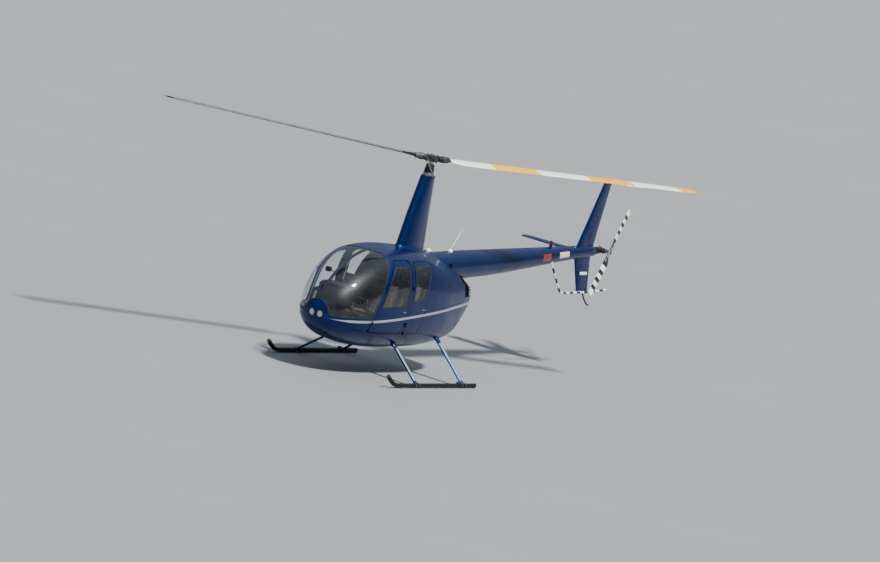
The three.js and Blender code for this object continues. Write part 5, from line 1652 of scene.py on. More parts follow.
def add_tail_rotor():
    for name, turn in (("upper", 0.0), ("lower", math.pi)):
        matrix = tail_turn(turn)
        blade = Piece(f"tail_blade_skin_{name}", WHITE, SATIN, METAL)
        inboard, outboard = list(np.linspace(0.095, 0.170, 8)), list(np.linspace(0.20, 0.72, 14))
        stations, slots = banded(inboard + outboard + [0.730, 0.735, 0.737], TAIL_BANDS)
        rings = [blade_ring(TAIL_COLUMNS, r, TAIL_CHORD, TAIL_BLADE_THICKNESS, matrix) for r in stations]
        rings[-1] = pinched(rings[-1], 0.85)
        blade.loft(rings, slots)
        for up in BOTH:
            normal = matrix.to_3x3() @ Vector((0, 0, up))
            for x, y in ((0.125, 0.006), (0.152, -0.006), (0.152, 0.018)):
                blade.stud(matrix @ Vector((x, y, up * 0.011)), normal, 0.005, 0.004, 6, 2)
        blade.done("tail_rotor", (f"tail_blade_{name}",))
    matrix = tail_turn(0)
    turn3 = matrix.to_3x3()

    def at(x, y=0.0, z=0.0):
        return matrix @ Vector((x, y, z))
    hub = Piece("tail_rotor_hub", METAL, STEEL)
    for up in BOTH:
        hub.block(at(0, 0, up * 0.0125), (0.186, 0.050, 0.006), turn3, 0.002)
    hub.block(at(0), (0.072, 0.050, 0.031), turn3, 0.004)
    for x in (-0.072, 0.072):
        hub.rod(at(x, 0, -0.021), at(x, 0, 0.021), 0.009, sides=6, slot=1, edge=0.001)
        hub.rod(at(x, 0, -0.0095), at(x, 0, 0.0095), 0.020, sides=24, slot=1)
    y = TAIL_HUB.y
    hub.turned((TAIL_HUB.x, y + 0.150, TAIL_HUB.z), (0, -1, 0),
               [(0, 0.014), (0.096, 0.014), (0.098, 0.026), (0.112, 0.028), (0.114, 0.020), (0.122, 0.020),
                (0.124, 0.034), (0.132, 0.034), (0.134, 0.022), (0.176, 0.022), (0.178, 0.014),
                (0.184, 0.012)], 32, 1)
    for turn in (0.0, math.pi):
        arm = tail_turn(turn)
        near, far = arm @ Vector((0.024, 0.020, 0.048)), arm @ Vector((0.112, 0.034, 0.006))
        hub.rod(near, far, 0.0042, sides=12, slot=1)
        hub.block(arm @ Vector((0.024, 0.010, 0.048)), (0.020, 0.030, 0.008), arm.to_3x3(), 0.002)
        hub.block(arm @ Vector((0.112, 0.022, 0.004)), (0.024, 0.034, 0.007), arm.to_3x3(), 0.002)
    hub.done("tail_rotor", ("tail_hub",))


# Mast fairing: z, front x, rear x and half width of each section
FAIRING = [(1.780, -0.455, 0.390, 0.118), (1.900, -0.440, 0.355, 0.112), (2.400, -0.330, 0.280, 0.098),
           (2.955, -0.160, 0.205, 0.084), (2.977, -0.155, 0.200, 0.081), (2.990, -0.139, 0.184, 0.070)]
FAIRING_NOSE = 0.36


def fairing_ring(row, grow=0.0, sides=56):
    z, front, rear, half = row
    front, rear, half = front - grow, rear + grow, half + grow
    widest = front + (rear - front) * FAIRING_NOSE
    ring = []
    for a in circle(sides):
        c = math.cos(a)
        reach = widest - front if c < 0 else rear - widest
        fullness = 1 if c < 0 else 1 - 0.35 * c ** 2
        ring.append(Vector((widest + reach * c, half * math.sin(a) * fullness, z)))
    return ring


def add_mast_fairing():
    fairing = Piece("mast_fairing_skin", BLUE_PLAIN, METAL)
    rows = resampled(FAIRING[:4], 10).tolist() + [list(row) for row in FAIRING[4:]]
    fairing.loft([fairing_ring(row) for row in rows])
    foot = (1.86, -0.447, 0.367, 0.1145)
    rings = []
    for grow, off in ((-0.004, 0.030), (0.002, 0.012), (0.010, 0.005), (0.030, 0.0026), (0.031, 0.0008),
                      (0.0, -0.008)):
        ring = []
        for point in fairing_ring(foot, grow):
            on = pod_cap(point.x, point.y)
            ring.append(on + pod_normal(on) * off)
        rings.append(ring)
    fairing.loft(rings, looped=True)
    for point in even(fairing_ring(foot, 0.020), 0.075):
        on = pod_cap(point.x, point.y)
        fairing.stud(on + pod_normal(on) * 0.0032, pod_normal(on), 0.0038, 0.0016, 8, 1)
    for z in np.arange(2.00, 2.95, 0.075):
        row = [float(np.interp(z, [r[0] for r in FAIRING], [r[i] for r in FAIRING])) for i in (1, 2, 3)]
        ring = fairing_ring([z] + row)
        for index in (5, 51):
            normal = (ring[index] - ring[index - 2]).cross(UP)
            normal = normal if normal.y * ring[index].y > 0 else -normal
            fairing.stud(ring[index], normal, 0.0034, 0.0010, 8, 1)
    fairing.done("fuselage", ("mast_fairing",))


# Landing gear
SKID_PATH = [(-1.740, 0.180), (-1.660, 0.126), (-1.540, 0.068), (-1.420, 0.043), (-1.300, 0.040),
             (-0.600, 0.040), (0.300, 0.040), (0.960, 0.040)]
STRUTS = {"front": ((-0.839, 1.045, 0.050), (-0.715, 0.400, 0.565)),
          "rear": ((0.577, 1.045, 0.050), (0.566, 0.370, 0.680))}
STRUT_CHORD = 0.100
STRUT_THICKNESS = 0.036
HANDLING_X = 0.440  # bracket of the ground-handling wheel


def add_skids():
    for name, side in SIDES:
        skid = Piece(f"skid_tube_{name}", BLACK, METAL, SATIN)
        y = side * SKID_Y
        line = [Vector((x, y, z)) for x, z in smooth_rows(SKID_PATH, 8)]
        radii = [SKID_RADIUS] * len(line)
        radii[0] = radii[-1] = SKID_RADIUS - 0.004
        skid.tube(line, radii, 28)
        skid.turned(line[0], line[0] - line[1],
                    [(-0.004, 0.030), (0.002, 0.030), (0.010, 0.024), (0.013, 0.010)], 28, 2)
        skid.turned(line[-1], (1, 0, 0), [(-0.012, 0.0332), (-0.002, 0.0332), (0.000, 0.030)], 28, 2)
        for low, high in ((-1.330, -0.960), (-0.720, -0.140), (-0.110, 0.450), (0.700, 0.950)):
            profile = [(-0.022, 0.0), (0.022, 0.0), (0.030, 0.012), (0.0335, 0.030), (0.0305, 0.030),
                       (0.0, 0.009), (-0.0305, 0.030), (-0.0335, 0.030), (-0.030, 0.012)]
            skid.loft([[Vector((x, y + a * s, b * s + (1 - s) * 0.02)) for a, b in profile]
                       for x, s in ((low, 0.985), (low + 0.006, 1), (high - 0.006, 1), (high, 0.985))])
            for x in np.arange(low + 0.05, high - 0.03, 0.16):
                for edge in BOTH:
                    skid.stud((x, y + edge * 0.0325, 0.024), (0, edge, -0.2), 0.0045, 0.003, 6, 1)
        for foot, _ in STRUTS.values():
            add_saddle(skid, foot[0], y)
        add_handling_lug(skid, HANDLING_X, y)
        skid.done("fuselage", (f"skid_{name}",))


def add_saddle(piece, x, y):
    """Clamp round the skid tube under a strut, with its bolts."""
    for offset in (-0.052, 0.052):
        piece.turned((x + offset - 0.012, y, SKID_Z), (1, 0, 0),
                     [(0, SKID_RADIUS), (0.001, 0.0375), (0.023, 0.0375), (0.024, SKID_RADIUS)], 28, 2)
        for edge in BOTH:
            piece.block((x + offset, y + edge * 0.041, SKID_Z), (0.022, 0.012, 0.022), None, 0.002, 2)
            piece.rod((x + offset, y + edge * 0.042, SKID_Z - 0.017),
                      (x + offset, y + edge * 0.042, SKID_Z + 0.017),
                      0.0048, sides=6, slot=1)
    piece.block((x, y, SKID_Z + 0.032), (0.130, 0.046, 0.014), None, 0.005, 2)


def add_handling_lug(piece, x, y):
    """Bracket that takes a ground-handling wheel."""
    for offset in (-0.028, 0.028):
        piece.block((x + offset, y, SKID_Z + 0.044), (0.007, 0.034, 0.036), None, 0.002, 2)
    piece.rod((x - 0.036, y, SKID_Z + 0.052), (x + 0.036, y, SKID_Z + 0.052), 0.006, sides=14, slot=1)
    piece.block((x, y, SKID_Z + 0.030), (0.080, 0.040, 0.008), None, 0.002, 2)


def strut_ring(leg, side, share, grow=0.0):
    foot, top = STRUTS[leg]
    x, y, z = (f + (t - f) * share for f, t in zip(foot, top))
    run = Vector((foot[1] - top[1], foot[2] - top[2])).normalized()
    ring = []
    for along, thick in foil(STRUT_CHORD + grow, STRUT_THICKNESS + grow * 0.7):
        ring.append(Vector((x - 0.35 * STRUT_CHORD - grow * 0.4 + along, side * (y - run.y * thick),
                            z + run.x * thick)))
    return ring


def add_struts():
    for name, side in SIDES:
        for leg in STRUTS:
            post = Piece(f"{leg}_strut_fairing_{name}", BLUE_PLAIN, STRUT_PAINTED_HIGHLIGHT)
            post.loft([strut_ring(leg, side, s) for s in np.linspace(0.03, 1.0, 16)])
            # Painted highlight strips down both faces of the strut
            add_painted_highlight_strip(post, leg, side)
            at = share_at_pod(leg)
            post.loft([strut_ring(leg, side, at - 0.105, 0.004), strut_ring(leg, side, at - 0.100, 0.010),
                       strut_ring(leg, side, at - 0.040, 0.022), strut_ring(leg, side, at + 0.030, 0.050)])
            post.loft([strut_ring(leg, side, 0.018, 0.008), strut_ring(leg, side, 0.020, 0.012),
                       strut_ring(leg, side, 0.062, 0.010), strut_ring(leg, side, 0.064, 0.004)])
            post.done("fuselage", (f"{leg}_strut_{name}",))


def add_painted_highlight_strip(post, leg, side):
    """Painted highlight: a lighter strip along the fullest part of a strut, on both faces, standing in for
    the sky mirrored there.
    """
    for picks in (range(3, 10), range(-3, -10, -1)):
        rows = []
        for share in np.linspace(0.075, share_at_pod(leg) - 0.115, 8):
            ring = strut_ring(leg, side, share, 0.0006)
            core = sum(ring, Vector()) / len(ring)
            rows.append([ring[i] for i in picks] + [ring[i] + (core - ring[i]) * 0.06 for i in picks[::-1]])
        post.loft(rows, 1)


def share_at_pod(leg):
    """How far up a strut its middle meets the pod."""
    foot, top = STRUTS[leg]
    for share in np.linspace(0.2, 1.0, 400):
        x, y, z = (f + (t - f) * share for f, t in zip(foot, top))
        if level(np.array([(x, y, z)]))[0] < 0:
            return share
    return 1.0


# Beacon, antennas, lamps, rear grille and exhaust
def add_beacon():
    top = Piece("beacon_dome", SATIN, RED_LENS, METAL)
    x, z = 4.330, 1.975
    top.turned((x, 0, 1.915), (0, 0, 1),
               [(0, 0.026), (0.035, 0.026), (0.050, 0.030), (0.058, 0.034), (0.0605, 0.033)], 36)
    top.turned((x, 0, z), (0, 0, 1), [(0, 0.031), (0.004, 0.0335), (0.026, 0.0335), (0.042, 0.031),
                                      (0.052, 0.025), (0.058, 0.016), (0.0602, 0.006)], 36, 1)
    for a in circle(3):
        top.stud((x + 0.034 * math.cos(a), 0.034 * math.sin(a), z - 0.004), (0, 0, 1), 0.003, 0.003, 6, 2)
    top.done("fuselage", ("beacon",))


def add_antennas():
    aerials = Piece("antennas", WHITE, SATIN)
    aerials.turned((1.216, 0, 1.800), (0.055, 0, 1),
                   [(0, 0.036), (0.038, 0.036), (0.046, 0.034), (0.060, 0.026),
                    (0.070, 0.014), (0.073, 0.006)], 24)
    aerials.rod((1.216, 0, 1.868), (1.509, 0, 2.267), 0.0040, 0.0026, 12)
    aerials.rod((1.2155, 0, 1.862), (1.252, 0, 1.914), 0.0075, 0.0045, 14, 1)
    aerials.done("fuselage", ("whip_antenna",))
    puck = Piece("satellite_antenna", WHITE)
    on = pod_cap(0.541, 0)
    up = pod_normal(on)
    puck.turned(on - up * 0.002, up, [(0, 0.040), (0.008, 0.040), (0.020, 0.037), (0.029, 0.031),
                                      (0.035, 0.020), (0.037, 0.008)], 32)
    puck.done("fuselage")


def add_lamps():
    """Two landing lamps sunk in the nose, each a bowl behind a clear lens."""
    lamps = Piece("landing_lamp_bowls", WHITE, SATIN, METAL)
    lenses = Piece("landing_lamp_lenses", LAMP_GLASS)
    for y in (-LAMP_SPREAD, LAMP_SPREAD):
        front = Vector((-2.428, y, LAMP_Z))
        back = Vector((1, 0, 0))
        bowl = [(0.000, 0.0475), (0.006, 0.0455), (0.018, 0.040), (0.030, 0.030), (0.038, 0.016),
                (0.040, 0.004), (0.044, 0.004), (0.043, 0.018), (0.034, 0.034), (0.020, 0.045),
                (0.002, 0.0500)]
        lamps.turned(front, back, bowl, 40)
        lamps.turned(front, back, [(-0.003, 0.0475), (-0.004, 0.0505), (0.004, 0.0515), (0.006, 0.0475)], 40,
                     1, looped=True)
        lamps.turned(front + back * 0.012, back, [(0, 0.003), (0.003, 0.009), (0.022, 0.009), (0.024, 0.004)],
                     20, 2)
        lenses.turned(front, back, [(-0.0085, 0.010), (-0.0080, 0.022), (-0.0055, 0.036), (-0.001, 0.0465),
                                    (0.0015, 0.0465), (-0.0025, 0.036), (-0.005, 0.022), (-0.0055, 0.010)],
                      40)
    lamps.done("fuselage", ("landing_lamps",))
    lenses.done("fuselage")


GRILLE_X = 1.500


def add_rear_grille():
    """Two frames in the open rear end of the pod, with dark louvres across the rear one."""
    louvres = Piece("rear_louvres", DEEP_BLACK)
    for x in (COWL_END + 0.020, GRILLE_X):
        outer, inner = (np.stack(ring(section(x), np.arange(96) / 96, WALL + depth), axis=1)
                        for depth in (0.0005, 0.020))
        profile = [(outer, 0.0), (outer, 0.014), (inner, 0.014), (inner, 0.0)]
        louvres.loft([[Vector((x + off, p[1], p[2])) for p in loop] for loop, off in profile], looped=True)
    for z in np.arange(0.905, 1.45, 0.036):
        halves = [float(pod_side(GRILLE_X, z + rise, 1, WALL + 0.012).y) for rise in (-0.006, 0.026)]
        half = min(halves) - 0.002
        if half < 0.06:
            continue
        slat = [(-0.014, -0.004), (-0.012, -0.006), (0.013, 0.020), (0.018, 0.021), (0.018, 0.0235),
                (0.011, 0.0235)]
        louvres.loft([[Vector((GRILLE_X + a, y, z + b)) for a, b in slat] for y in (-half, half)])
    for y in (-0.16, 0.0, 0.16):
        louvres.rod((GRILLE_X + 0.006, y, 0.870), (GRILLE_X + 0.006, y, 1.400), 0.004, sides=10)
    louvres.done("fuselage", ("rear_grille",))


def add_exhaust():
    pipe = Piece("exhaust_stack", EXHAUST)
    start, end = Vector((0.720, 0.250, 0.5895)), Vector((0.800, 0.330, 0.380))
    run = end - start
    pipe.turned(start, run, [(0.0, 0.037), (run.length - 0.003, 0.037), (run.length, 0.0355),
                             (run.length - 0.002, 0.033), (0.0, 0.033)], 36, looped=True)
    pipe.done("fuselage", ("exhaust_pipe",))


# Cabin: padded seats
SEATS = (("front", -1.500, -1.060, 0.860),
         ("rear", -0.700, -0.300, 0.870))  # front, back and height of the base
SEAT_INNER, SEAT_OUTER = 0.035, 0.500
SEAT_MIDDLE = (SEAT_INNER + SEAT_OUTER) / 2
CUSHION_HEIGHT = 0.100
BACK_HEIGHT, BACK_WIDTH, BACK_THICKNESS = 0.540, 0.440, 0.080
BACK_MIDDLE = (SEAT_INNER + SEAT_OUTER - 0.025) / 2
BACK_LEAN = 0.11
FLOOR_TOP = 0.610
VOXEL = 0.010
PAD_MARGIN = 0.009  # how much smaller than its place a pad starts
PAD_CAP = 0.014
CHANNEL_WIDTH = 0.007
PIPING_RADIUS = 0.0042


def remade(obj, kind, **settings):
    """Puts a modifier on an object and keeps its result."""
    change = obj.modifiers.new("change", kind)
    for name, value in settings.items():
        setattr(change, name, value)
    graph = bpy.context.evaluated_depsgraph_get()
    mesh = bpy.data.meshes.new_from_object(obj.evaluated_get(graph))
    obj.modifiers.clear()
    obj.data = mesh


def coordinates(mesh):
    flat = np.zeros(len(mesh.vertices) * 3)
    mesh.vertices.foreach_get("co", flat)
    return flat.reshape(-1, 3)


def blank_pad(size):
    """Closed block with round edges, remeshed evenly, from which a pad swells."""
    work = bmesh.new()
    bmesh.ops.create_cube(work, size=1.0)
    bmesh.ops.scale(work, vec=[s - 2 * PAD_MARGIN for s in size], verts=work.verts)
    bmesh.ops.bevel(work, geom=work.edges[:], offset=0.020, segments=4, profile=0.5, affect="EDGES")
    mesh = bpy.data.meshes.new("pad")
    work.to_mesh(mesh)
    work.free()
    obj = bpy.data.objects.new("pad", mesh)
    bpy.context.scene.collection.objects.link(obj)
    remade(obj, "REMESH", mode="VOXEL", voxel_size=VOXEL)
    return obj


def swell(obj, size):
    """Blows a pad up as cloth that its flat underside holds, and lets no point move past the cap."""
    start = coordinates(obj.data)
    held = obj.vertex_groups.new(name="held")
    held.add(np.flatnonzero(start[:, 2] < PAD_MARGIN + 0.004 - size[2] / 2).tolist(), 1.0, "REPLACE")
    cloth = obj.modifiers.new("cloth", "CLOTH").settings
    cloth.use_pressure = True
    cloth.uniform_pressure_force = 4
    cloth.vertex_group_mass = "held"
    cloth.effector_weights.gravity = 0
    for step in range(1, 21):
        bpy.context.scene.frame_set(step)
    end = coordinates(obj.evaluated_get(bpy.context.evaluated_depsgraph_get()).data)
    obj.modifiers.clear()
    bpy.context.scene.frame_set(1)
    move = end - start
    far = np.linalg.norm(move, axis=1, keepdims=True)
    move *= np.minimum(1, PAD_CAP / np.maximum(far, 1e-9))
    obj.data.vertices.foreach_set("co", (start + move).ravel())


def crowned(points, size):
    """Points with a soft crown on the top and sides drawn in between the corners."""
    half = np.array(size) / 2
    u, v, w = (points / half).T
    crown = (1 - u.clip(-1, 1) ** 4) * (1 - v.clip(-1, 1) ** 4) * (w > 0)
    points = points.copy()
    points[:, 2] += 0.010 * crown * w.clip(0, 1)
    waist = 0.007 * (1 - w.clip(-1, 1) ** 2)
    points[:, 0] -= np.sign(u) * waist * np.abs(u) ** 6 * (1 - v.clip(-1, 1) ** 2)
    points[:, 1] -= np.sign(v) * waist * np.abs(v) ** 6 * (1 - u.clip(-1, 1) ** 2)
    return points


def sewn(points, lines):
    """Points with channels pressed into the top along lines; each has two ends and a depth."""
    points = points.copy()
    for (ax, ay), (bx, by), depth in lines:
        run = np.array([bx - ax, by - ay])
        share = ((points[:, :2] - (ax, ay)) @ run / (run @ run)).clip(0, 1)
        away = np.linalg.norm(points[:, :2] - (ax, ay) - share[:, None] * run, axis=1)
        points[:, 2] -= depth * np.exp(-(away / CHANNEL_WIDTH) ** 2) * (points[:, 2] > 0)
    return points


def pad_lines(size, bolster, count):
    """Two seams that mark the side bolsters off, and the channels sewn between them."""
    half_x, half_y = size[0] / 2 - 0.022, size[1] / 2 - bolster
    lines = [((-half_x, side * half_y), (half_x, side * half_y), 0.0065) for side in BOTH]
    for x in np.linspace(-half_x, half_x, count + 2)[1:-1]:
        lines.append(((x, -half_y), (x, half_y), 0.0045))
    return lines


def padded_form(size, bolster, count):
    """Points and faces of a sewn pad that lies flat, and the line of the piping round its top."""
    pad = blank_pad(size)
    swell(pad, size)
    remade(pad, "SUBSURF", levels=1, render_levels=1)
    points = sewn(crowned(coordinates(pad.data), size), pad_lines(size, bolster, count))
    faces = [tuple(face.vertices) for face in pad.data.polygons]
    drop(pad)
    tree = BVHTree.FromPolygons(points.tolist(), faces)
    half_x, half_y = size[0] / 2, size[1] / 2
    corners = rounded([(-half_x, -half_y), (half_x, -half_y), (half_x, half_y), (-half_x, half_y)], 0.055)
    loop = [tree.find_nearest(Vector((x, y, size[2] / 2)))[0] for x, y in corners]
    return points, faces, even(loop, 0.012)


def add_seat_pad(name, form, place, node):
    """One pad with its piping, set in the cabin by place, which moves a point of the flat pad."""
    points, faces, loop = form
    pad = Piece(name, LEATHER, PIPING)
    pad.add([place(p) for p in points], faces)
    pad.tube([place(p) for p in loop], PIPING_RADIUS, 10, 1, looped=True)
    obj = pad.done("fuselage", (node,), angle=60)
    return BVHTree.FromPolygons([place(p) for p in points], faces)


def add_seats():
    back = padded_form((BACK_HEIGHT, BACK_WIDTH, BACK_THICKNESS), 0.085, 5)
    for row, front, rear, base in SEATS:
        cushion = padded_form((rear - front, SEAT_OUTER - SEAT_INNER, CUSHION_HEIGHT), 0.085, 4)
        for name, side in SIDES:
            seat = Vector(((front + rear) / 2, side * SEAT_MIDDLE, base + CUSHION_HEIGHT / 2))
            under = add_seat_pad(f"{row}_seat_cushion_{name}", cushion, lambda p: seat + Vector(p),
                                 f"{row}_cushion_{name}")
            foot = Vector((rear + 0.0006 + BACK_THICKNESS / 2, side * BACK_MIDDLE, base + BACK_HEIGHT / 2))

            def leaning(p):
                return foot + Vector((BACK_LEAN * (p[0] + BACK_HEIGHT / 2) - p[2], p[1], p[0]))
            behind = add_seat_pad(f"{row}_seat_back_{name}", back, leaning, f"{row}_backrest_{name}")
            add_belt(row, name, side, seat, foot, under, behind)


BELT_WIDTH = 0.046
BELT_THICKNESS = 0.0014


def add_belt(row, name, side, seat, foot, cushion, back):
    """Lap and shoulder straps laid over the pads, with their buckle."""
    belt = Piece(f"{row}_seat_belt_{name}", WEBBING, METAL, SATIN)
    lap_x = seat.x + 0.105
    buckle_y = seat.y - side * 0.110

    def on_cushion(y, x):
        hit = cushion.ray_cast(Vector((x, y, seat.z + 0.2)), Vector((0, 0, -1)))[0]
        return hit + Vector((0, 0, 0.0022)) if hit else None

    def on_back(y, z):
        hit = back.ray_cast(Vector((foot.x - 0.3, y, z)), Vector((1, 0, 0)))[0]
        return hit - Vector((0.0022, 0, 0)) if hit else None
    half = BELT_WIDTH / 2
    across = []
    for y in np.linspace(seat.y - side * 0.205, seat.y + side * 0.205, 26):
        row_points = [on_cushion(y, lap_x + off) for off in (-half, 0, half)]
        if all(row_points):
            across.append(row_points)
    belt.sheet(across, BELT_THICKNESS * side)
    upwards = []
    for share in np.linspace(0, 1, 30):
        y = buckle_y + (seat.y + side * 0.160 - buckle_y) * share
        z = foot.z - BACK_HEIGHT / 2 + 0.125 + (BACK_HEIGHT - 0.160) * share
        row_points = [on_back(y + off, z) for off in (-half, 0, half)]
        if all(row_points):
            upwards.append(row_points)
    belt.sheet(upwards, BELT_THICKNESS)
    buckle = on_cushion(buckle_y, lap_x) + Vector((0, 0, 0.010))
    belt.block(buckle, (0.062, 0.074, 0.018), None, 0.004, 1)
    belt.block(buckle + Vector((0, side * 0.004, 0.010)), (0.050, 0.044, 0.004), None, 0.001, 2)
    belt.done("fuselage")


# Cabin: floor, bulkhead, panel, controls and door trims
BULKHEAD = ((-0.230, 0.380), (-0.085, 1.900))
BULKHEAD_THICKNESS = 0.025
QUILTS = ((0.640, 1.020, 0.500), (1.030, 1.420, 0.540), (1.430, 1.660, 0.440))  # low and high end, half width
QUILT_INNER = 0.015
LINING_GAP = 0.0008  # between the pod's inner wall and what stands against it


def bulkhead_x(z):
    (x0, z0), (x1, z1) = BULKHEAD
    return x0 + (x1 - x0) * (z - z0) / (z1 - z0)


def add_floor_and_boxes():
    """Carpeted floor, and the boxes under the seats with their lids."""
    floor = prism([(-2.250, 0.590), (bulkhead_x(0.590) - 0.001, 0.590),
                   (bulkhead_x(0.610) - 0.001, FLOOR_TOP), (-2.250, FLOOR_TOP)], -FAR_SIDE, FAR_SIDE)
    combined(floor, "INTERSECT", pod_solid(WALL + LINING_GAP, 8, 120, POD_TAIL))
    floor.name = "cabin_floor_panel"
    dress(floor, CARPET)
    settle(floor, "fuselage", ("cabin_floor",))
    boxes = Piece("seat_boxes", CARPET, TRIM, METAL)
    for row, front, rear, base in SEATS:
        for side in BOTH:
            end = rear + 0.110 if row == "front" else rear + 0.086
            section_form = [(0.004, FLOOR_TOP + 0.0006), (0.445, FLOOR_TOP + 0.0006), (0.490, 0.695),
                            (0.490, base - 0.022), (0.004, base - 0.022)]
            section_form = rounded(section_form, 0.010, 3)
            small = inset(section_form, 0.006)
            boxes.loft([[Vector((x, side * y, z)) for y, z in form] for form, x in
                        ((small, front + 0.025), (section_form, front + 0.031), (section_form, end - 0.006),
                         (small, end))])
            lid = Vector(((front + 0.021 + end) / 2, side * 0.2475, base - 0.0115))
            boxes.block(lid, (end - front - 0.021, 0.486, 0.019), None, 0.004, 1)
            face = front + 0.0245
            for y in (0.10, 0.40):
                boxes.block((face - 0.002, side * y, base - 0.040), (0.004, 0.026, 0.040), None, 0.001, 2)
            boxes.tube([(face - 0.001, side * 0.215, base - 0.075),
                        (face - 0.016, side * 0.222, base - 0.075),
                        (face - 0.018, side * 0.250, base - 0.075),
                        (face - 0.016, side * 0.278, base - 0.075),
                        (face - 0.001, side * 0.285, base - 0.075)], 0.005, 10, 2)
    boxes.done("fuselage")


def add_floor_mats():
    mats = Piece("floor_mats", CARPET_DARK, TRIM)
    for x0, x1, y0, y1 in ((-1.860, -1.530, 0.125, 0.350), (-0.935, -0.695, 0.060, 0.430)):
        for side in BOTH:
            mats.block(((x0 + x1) / 2, side * (y0 + y1) / 2, FLOOR_TOP + 0.004), (x1 - x0, y1 - y0, 0.007),
                       None, 0.003)
            mats.block(((x0 + x1) / 2, side * (y0 + y1) / 2, FLOOR_TOP + 0.0085),
                       (0.26 * (x1 - x0), 0.7 * (y1 - y0), 0.002), None, 0.0008, 1)
    mats.done("fuselage")


def add_bulkhead():
    """Wall behind the rear seats, with quilted panels on the cabin's side."""
    (x0, z0), (x1, z1) = BULKHEAD
    wall = prism([(x0, z0), (x0 + BULKHEAD_THICKNESS, z0), (x1 + BULKHEAD_THICKNESS, z1), (x1, z1)],
                 -FAR_SIDE, FAR_SIDE)
    combined(wall, "INTERSECT", pod_solid(WALL + LINING_GAP, 8, 120, POD_TAIL))
    wall.name = "bulkhead_wall"
    dress(wall, TRIM)
    settle(wall, "fuselage", ("firewall",))
    quilt = Piece("bulkhead_quilting", LINER)
    for side in BOTH:
        for z0, z1, outer in QUILTS:
            rings = []
            for u in np.linspace(0, 1, 25):
                z = z0 + (z1 - z0) * u
                front, rear = [], []
                for v in np.linspace(0, 1, 25):
                    y = side * (QUILT_INNER + (outer - QUILT_INNER) * v)
                    puff = abs(math.sin(math.pi * 3 * u) * math.sin(math.pi * 3 * v)) ** 0.45
                    front.append(Vector((bulkhead_x(z) - 0.003 - 0.009 * puff, y, z)))
                    rear.append(Vector((bulkhead_x(z) - 0.0005, y, z)))
                rings.append(front + rear[::-1])
            quilt.loft(rings)
    quilt.done("fuselage")


def plank(piece, outline, y0, y1, edge, slot=0):
    """Slab with a side-view outline and cut edges."""
    small = inset(outline, edge)
    piece.loft([[Vector((x, y, z)) for x, z in form]
                for form, y in ((small, y0), (outline, y0 + edge), (outline, y1 - edge), (small, y1))], slot)


def dial(piece, centre, turn, radius, needle):
    """Round instrument on the panel: bezel, face, marks and needle."""
    normal = turn @ UP
    piece.turned(centre, normal, [(-0.002, radius * 0.86), (-0.002, radius), (0.005, radius),
                                  (0.007, radius * 0.94), (0.005, radius * 0.86)], 28, 1, looped=True)
    piece.turned(centre, normal, [(-0.001, radius * 0.9), (0.0018, radius * 0.9)], 28, 2)
    for k in range(12):
        a = math.radians(150 - k * 300 / 11 - 60)
        along = turn @ Vector((math.cos(a), math.sin(a), 0))
        across = normal.cross(along)
        spin = Matrix((along, across, normal)).transposed()
        length = radius * (0.20 if k % 3 == 0 else 0.12)
        place = centre + along * (radius * 0.82 - length / 2) + normal * 0.0022
        piece.block(place, (length, 0.0016, 0.0008), spin, 0.0002, 3)
    along = turn @ Vector((math.cos(needle), math.sin(needle), 0))
    spin = Matrix((along, normal.cross(along), normal)).transposed()
    place = centre + along * radius * 0.28 + normal * 0.0032
    piece.block(place, (radius * 0.85, 0.0028, 0.0010), spin, 0.0003, 3)
    piece.turned(centre, normal, [(0.001, radius * 0.11), (0.0048, radius * 0.10)], 12, 1)


PANEL_FOOT, PANEL_HEAD = Vector((-1.850, 0, 1.030)), Vector((-1.905, 0, 1.290))
PLATE_FACE = 0.0036  # from the panel's slope to the face of its plate


def slope(low, high):
    """Axes of a face that slopes up from low to high and looks aft: up, off the face, and all three."""
    up = (high - low).normalized()
    normal = Vector((-up.z, 0, up.x))
    normal = normal if normal.x > 0 else -normal
    return up, normal, Matrix((up.cross(normal), up, normal)).transposed()


def add_instrument_panel():
    """Pedestal, binnacle with its dials and glareshield, radios and switches."""
    panel = Piece("instrument_panel", TRIM, SATIN, DIAL, WHITE, METAL, RED, GLASS_DARK)
    pedestal = [(-2.120, 0.6105), (-1.700, 0.6105), (-1.690, 0.900), (-1.850, 1.040), (-2.120, 1.040)]
    plank(panel, rounded(pedestal, 0.02), -0.110, 0.110, 0.006)
    binnacle = [(-2.100, 1.030), (-1.850, 1.030), (-1.905, 1.290), (-1.960, 1.318), (-2.060, 1.290)]
    plank(panel, rounded(binnacle, 0.02), -0.258, 0.258, 0.014)
    up, normal, turn = slope(PANEL_FOOT, PANEL_HEAD)
    plate = PANEL_FOOT + up * 0.133 + normal * 0.0015
    panel.block(plate, (0.492, 0.236, 0.004), turn, 0.001, 1)
    for k, y in enumerate((-0.186, -0.094, 0.0, 0.094, 0.186)):
        dial(panel, PANEL_FOOT + up * 0.168 + normal * PLATE_FACE + Vector((0, y, 0)), turn, 0.041,
             0.5 + 1.1 * k)
    for k, y in enumerate((-0.205, -0.137, -0.068, 0.0, 0.068, 0.137, 0.205)):
        dial(panel, PANEL_FOOT + up * 0.082 + normal * PLATE_FACE + Vector((0, y, 0)), turn, 0.030,
             2.6 - 0.7 * k)
    for k in range(11):
        place = PANEL_FOOT + up * 0.228 + normal * PLATE_FACE + Vector((0, -0.20 + 0.04 * k, 0))
        panel.block(place, (0.022, 0.009, 0.004), turn, 0.001, 5 if k % 4 == 1 else 2)
    for k in range(8):
        place = PANEL_FOOT + up * 0.030 + normal * PLATE_FACE + Vector((0, -0.175 + 0.05 * k, 0))
        panel.turned(place, normal, [(0, 0.006), (0.003, 0.006), (0.004, 0.003), (0.013, 0.0036),
                                     (0.015, 0.003)], 12, 4)
    add_glareshield(panel)
    add_radios(panel)
    panel.done("fuselage", ("instrument_console",))


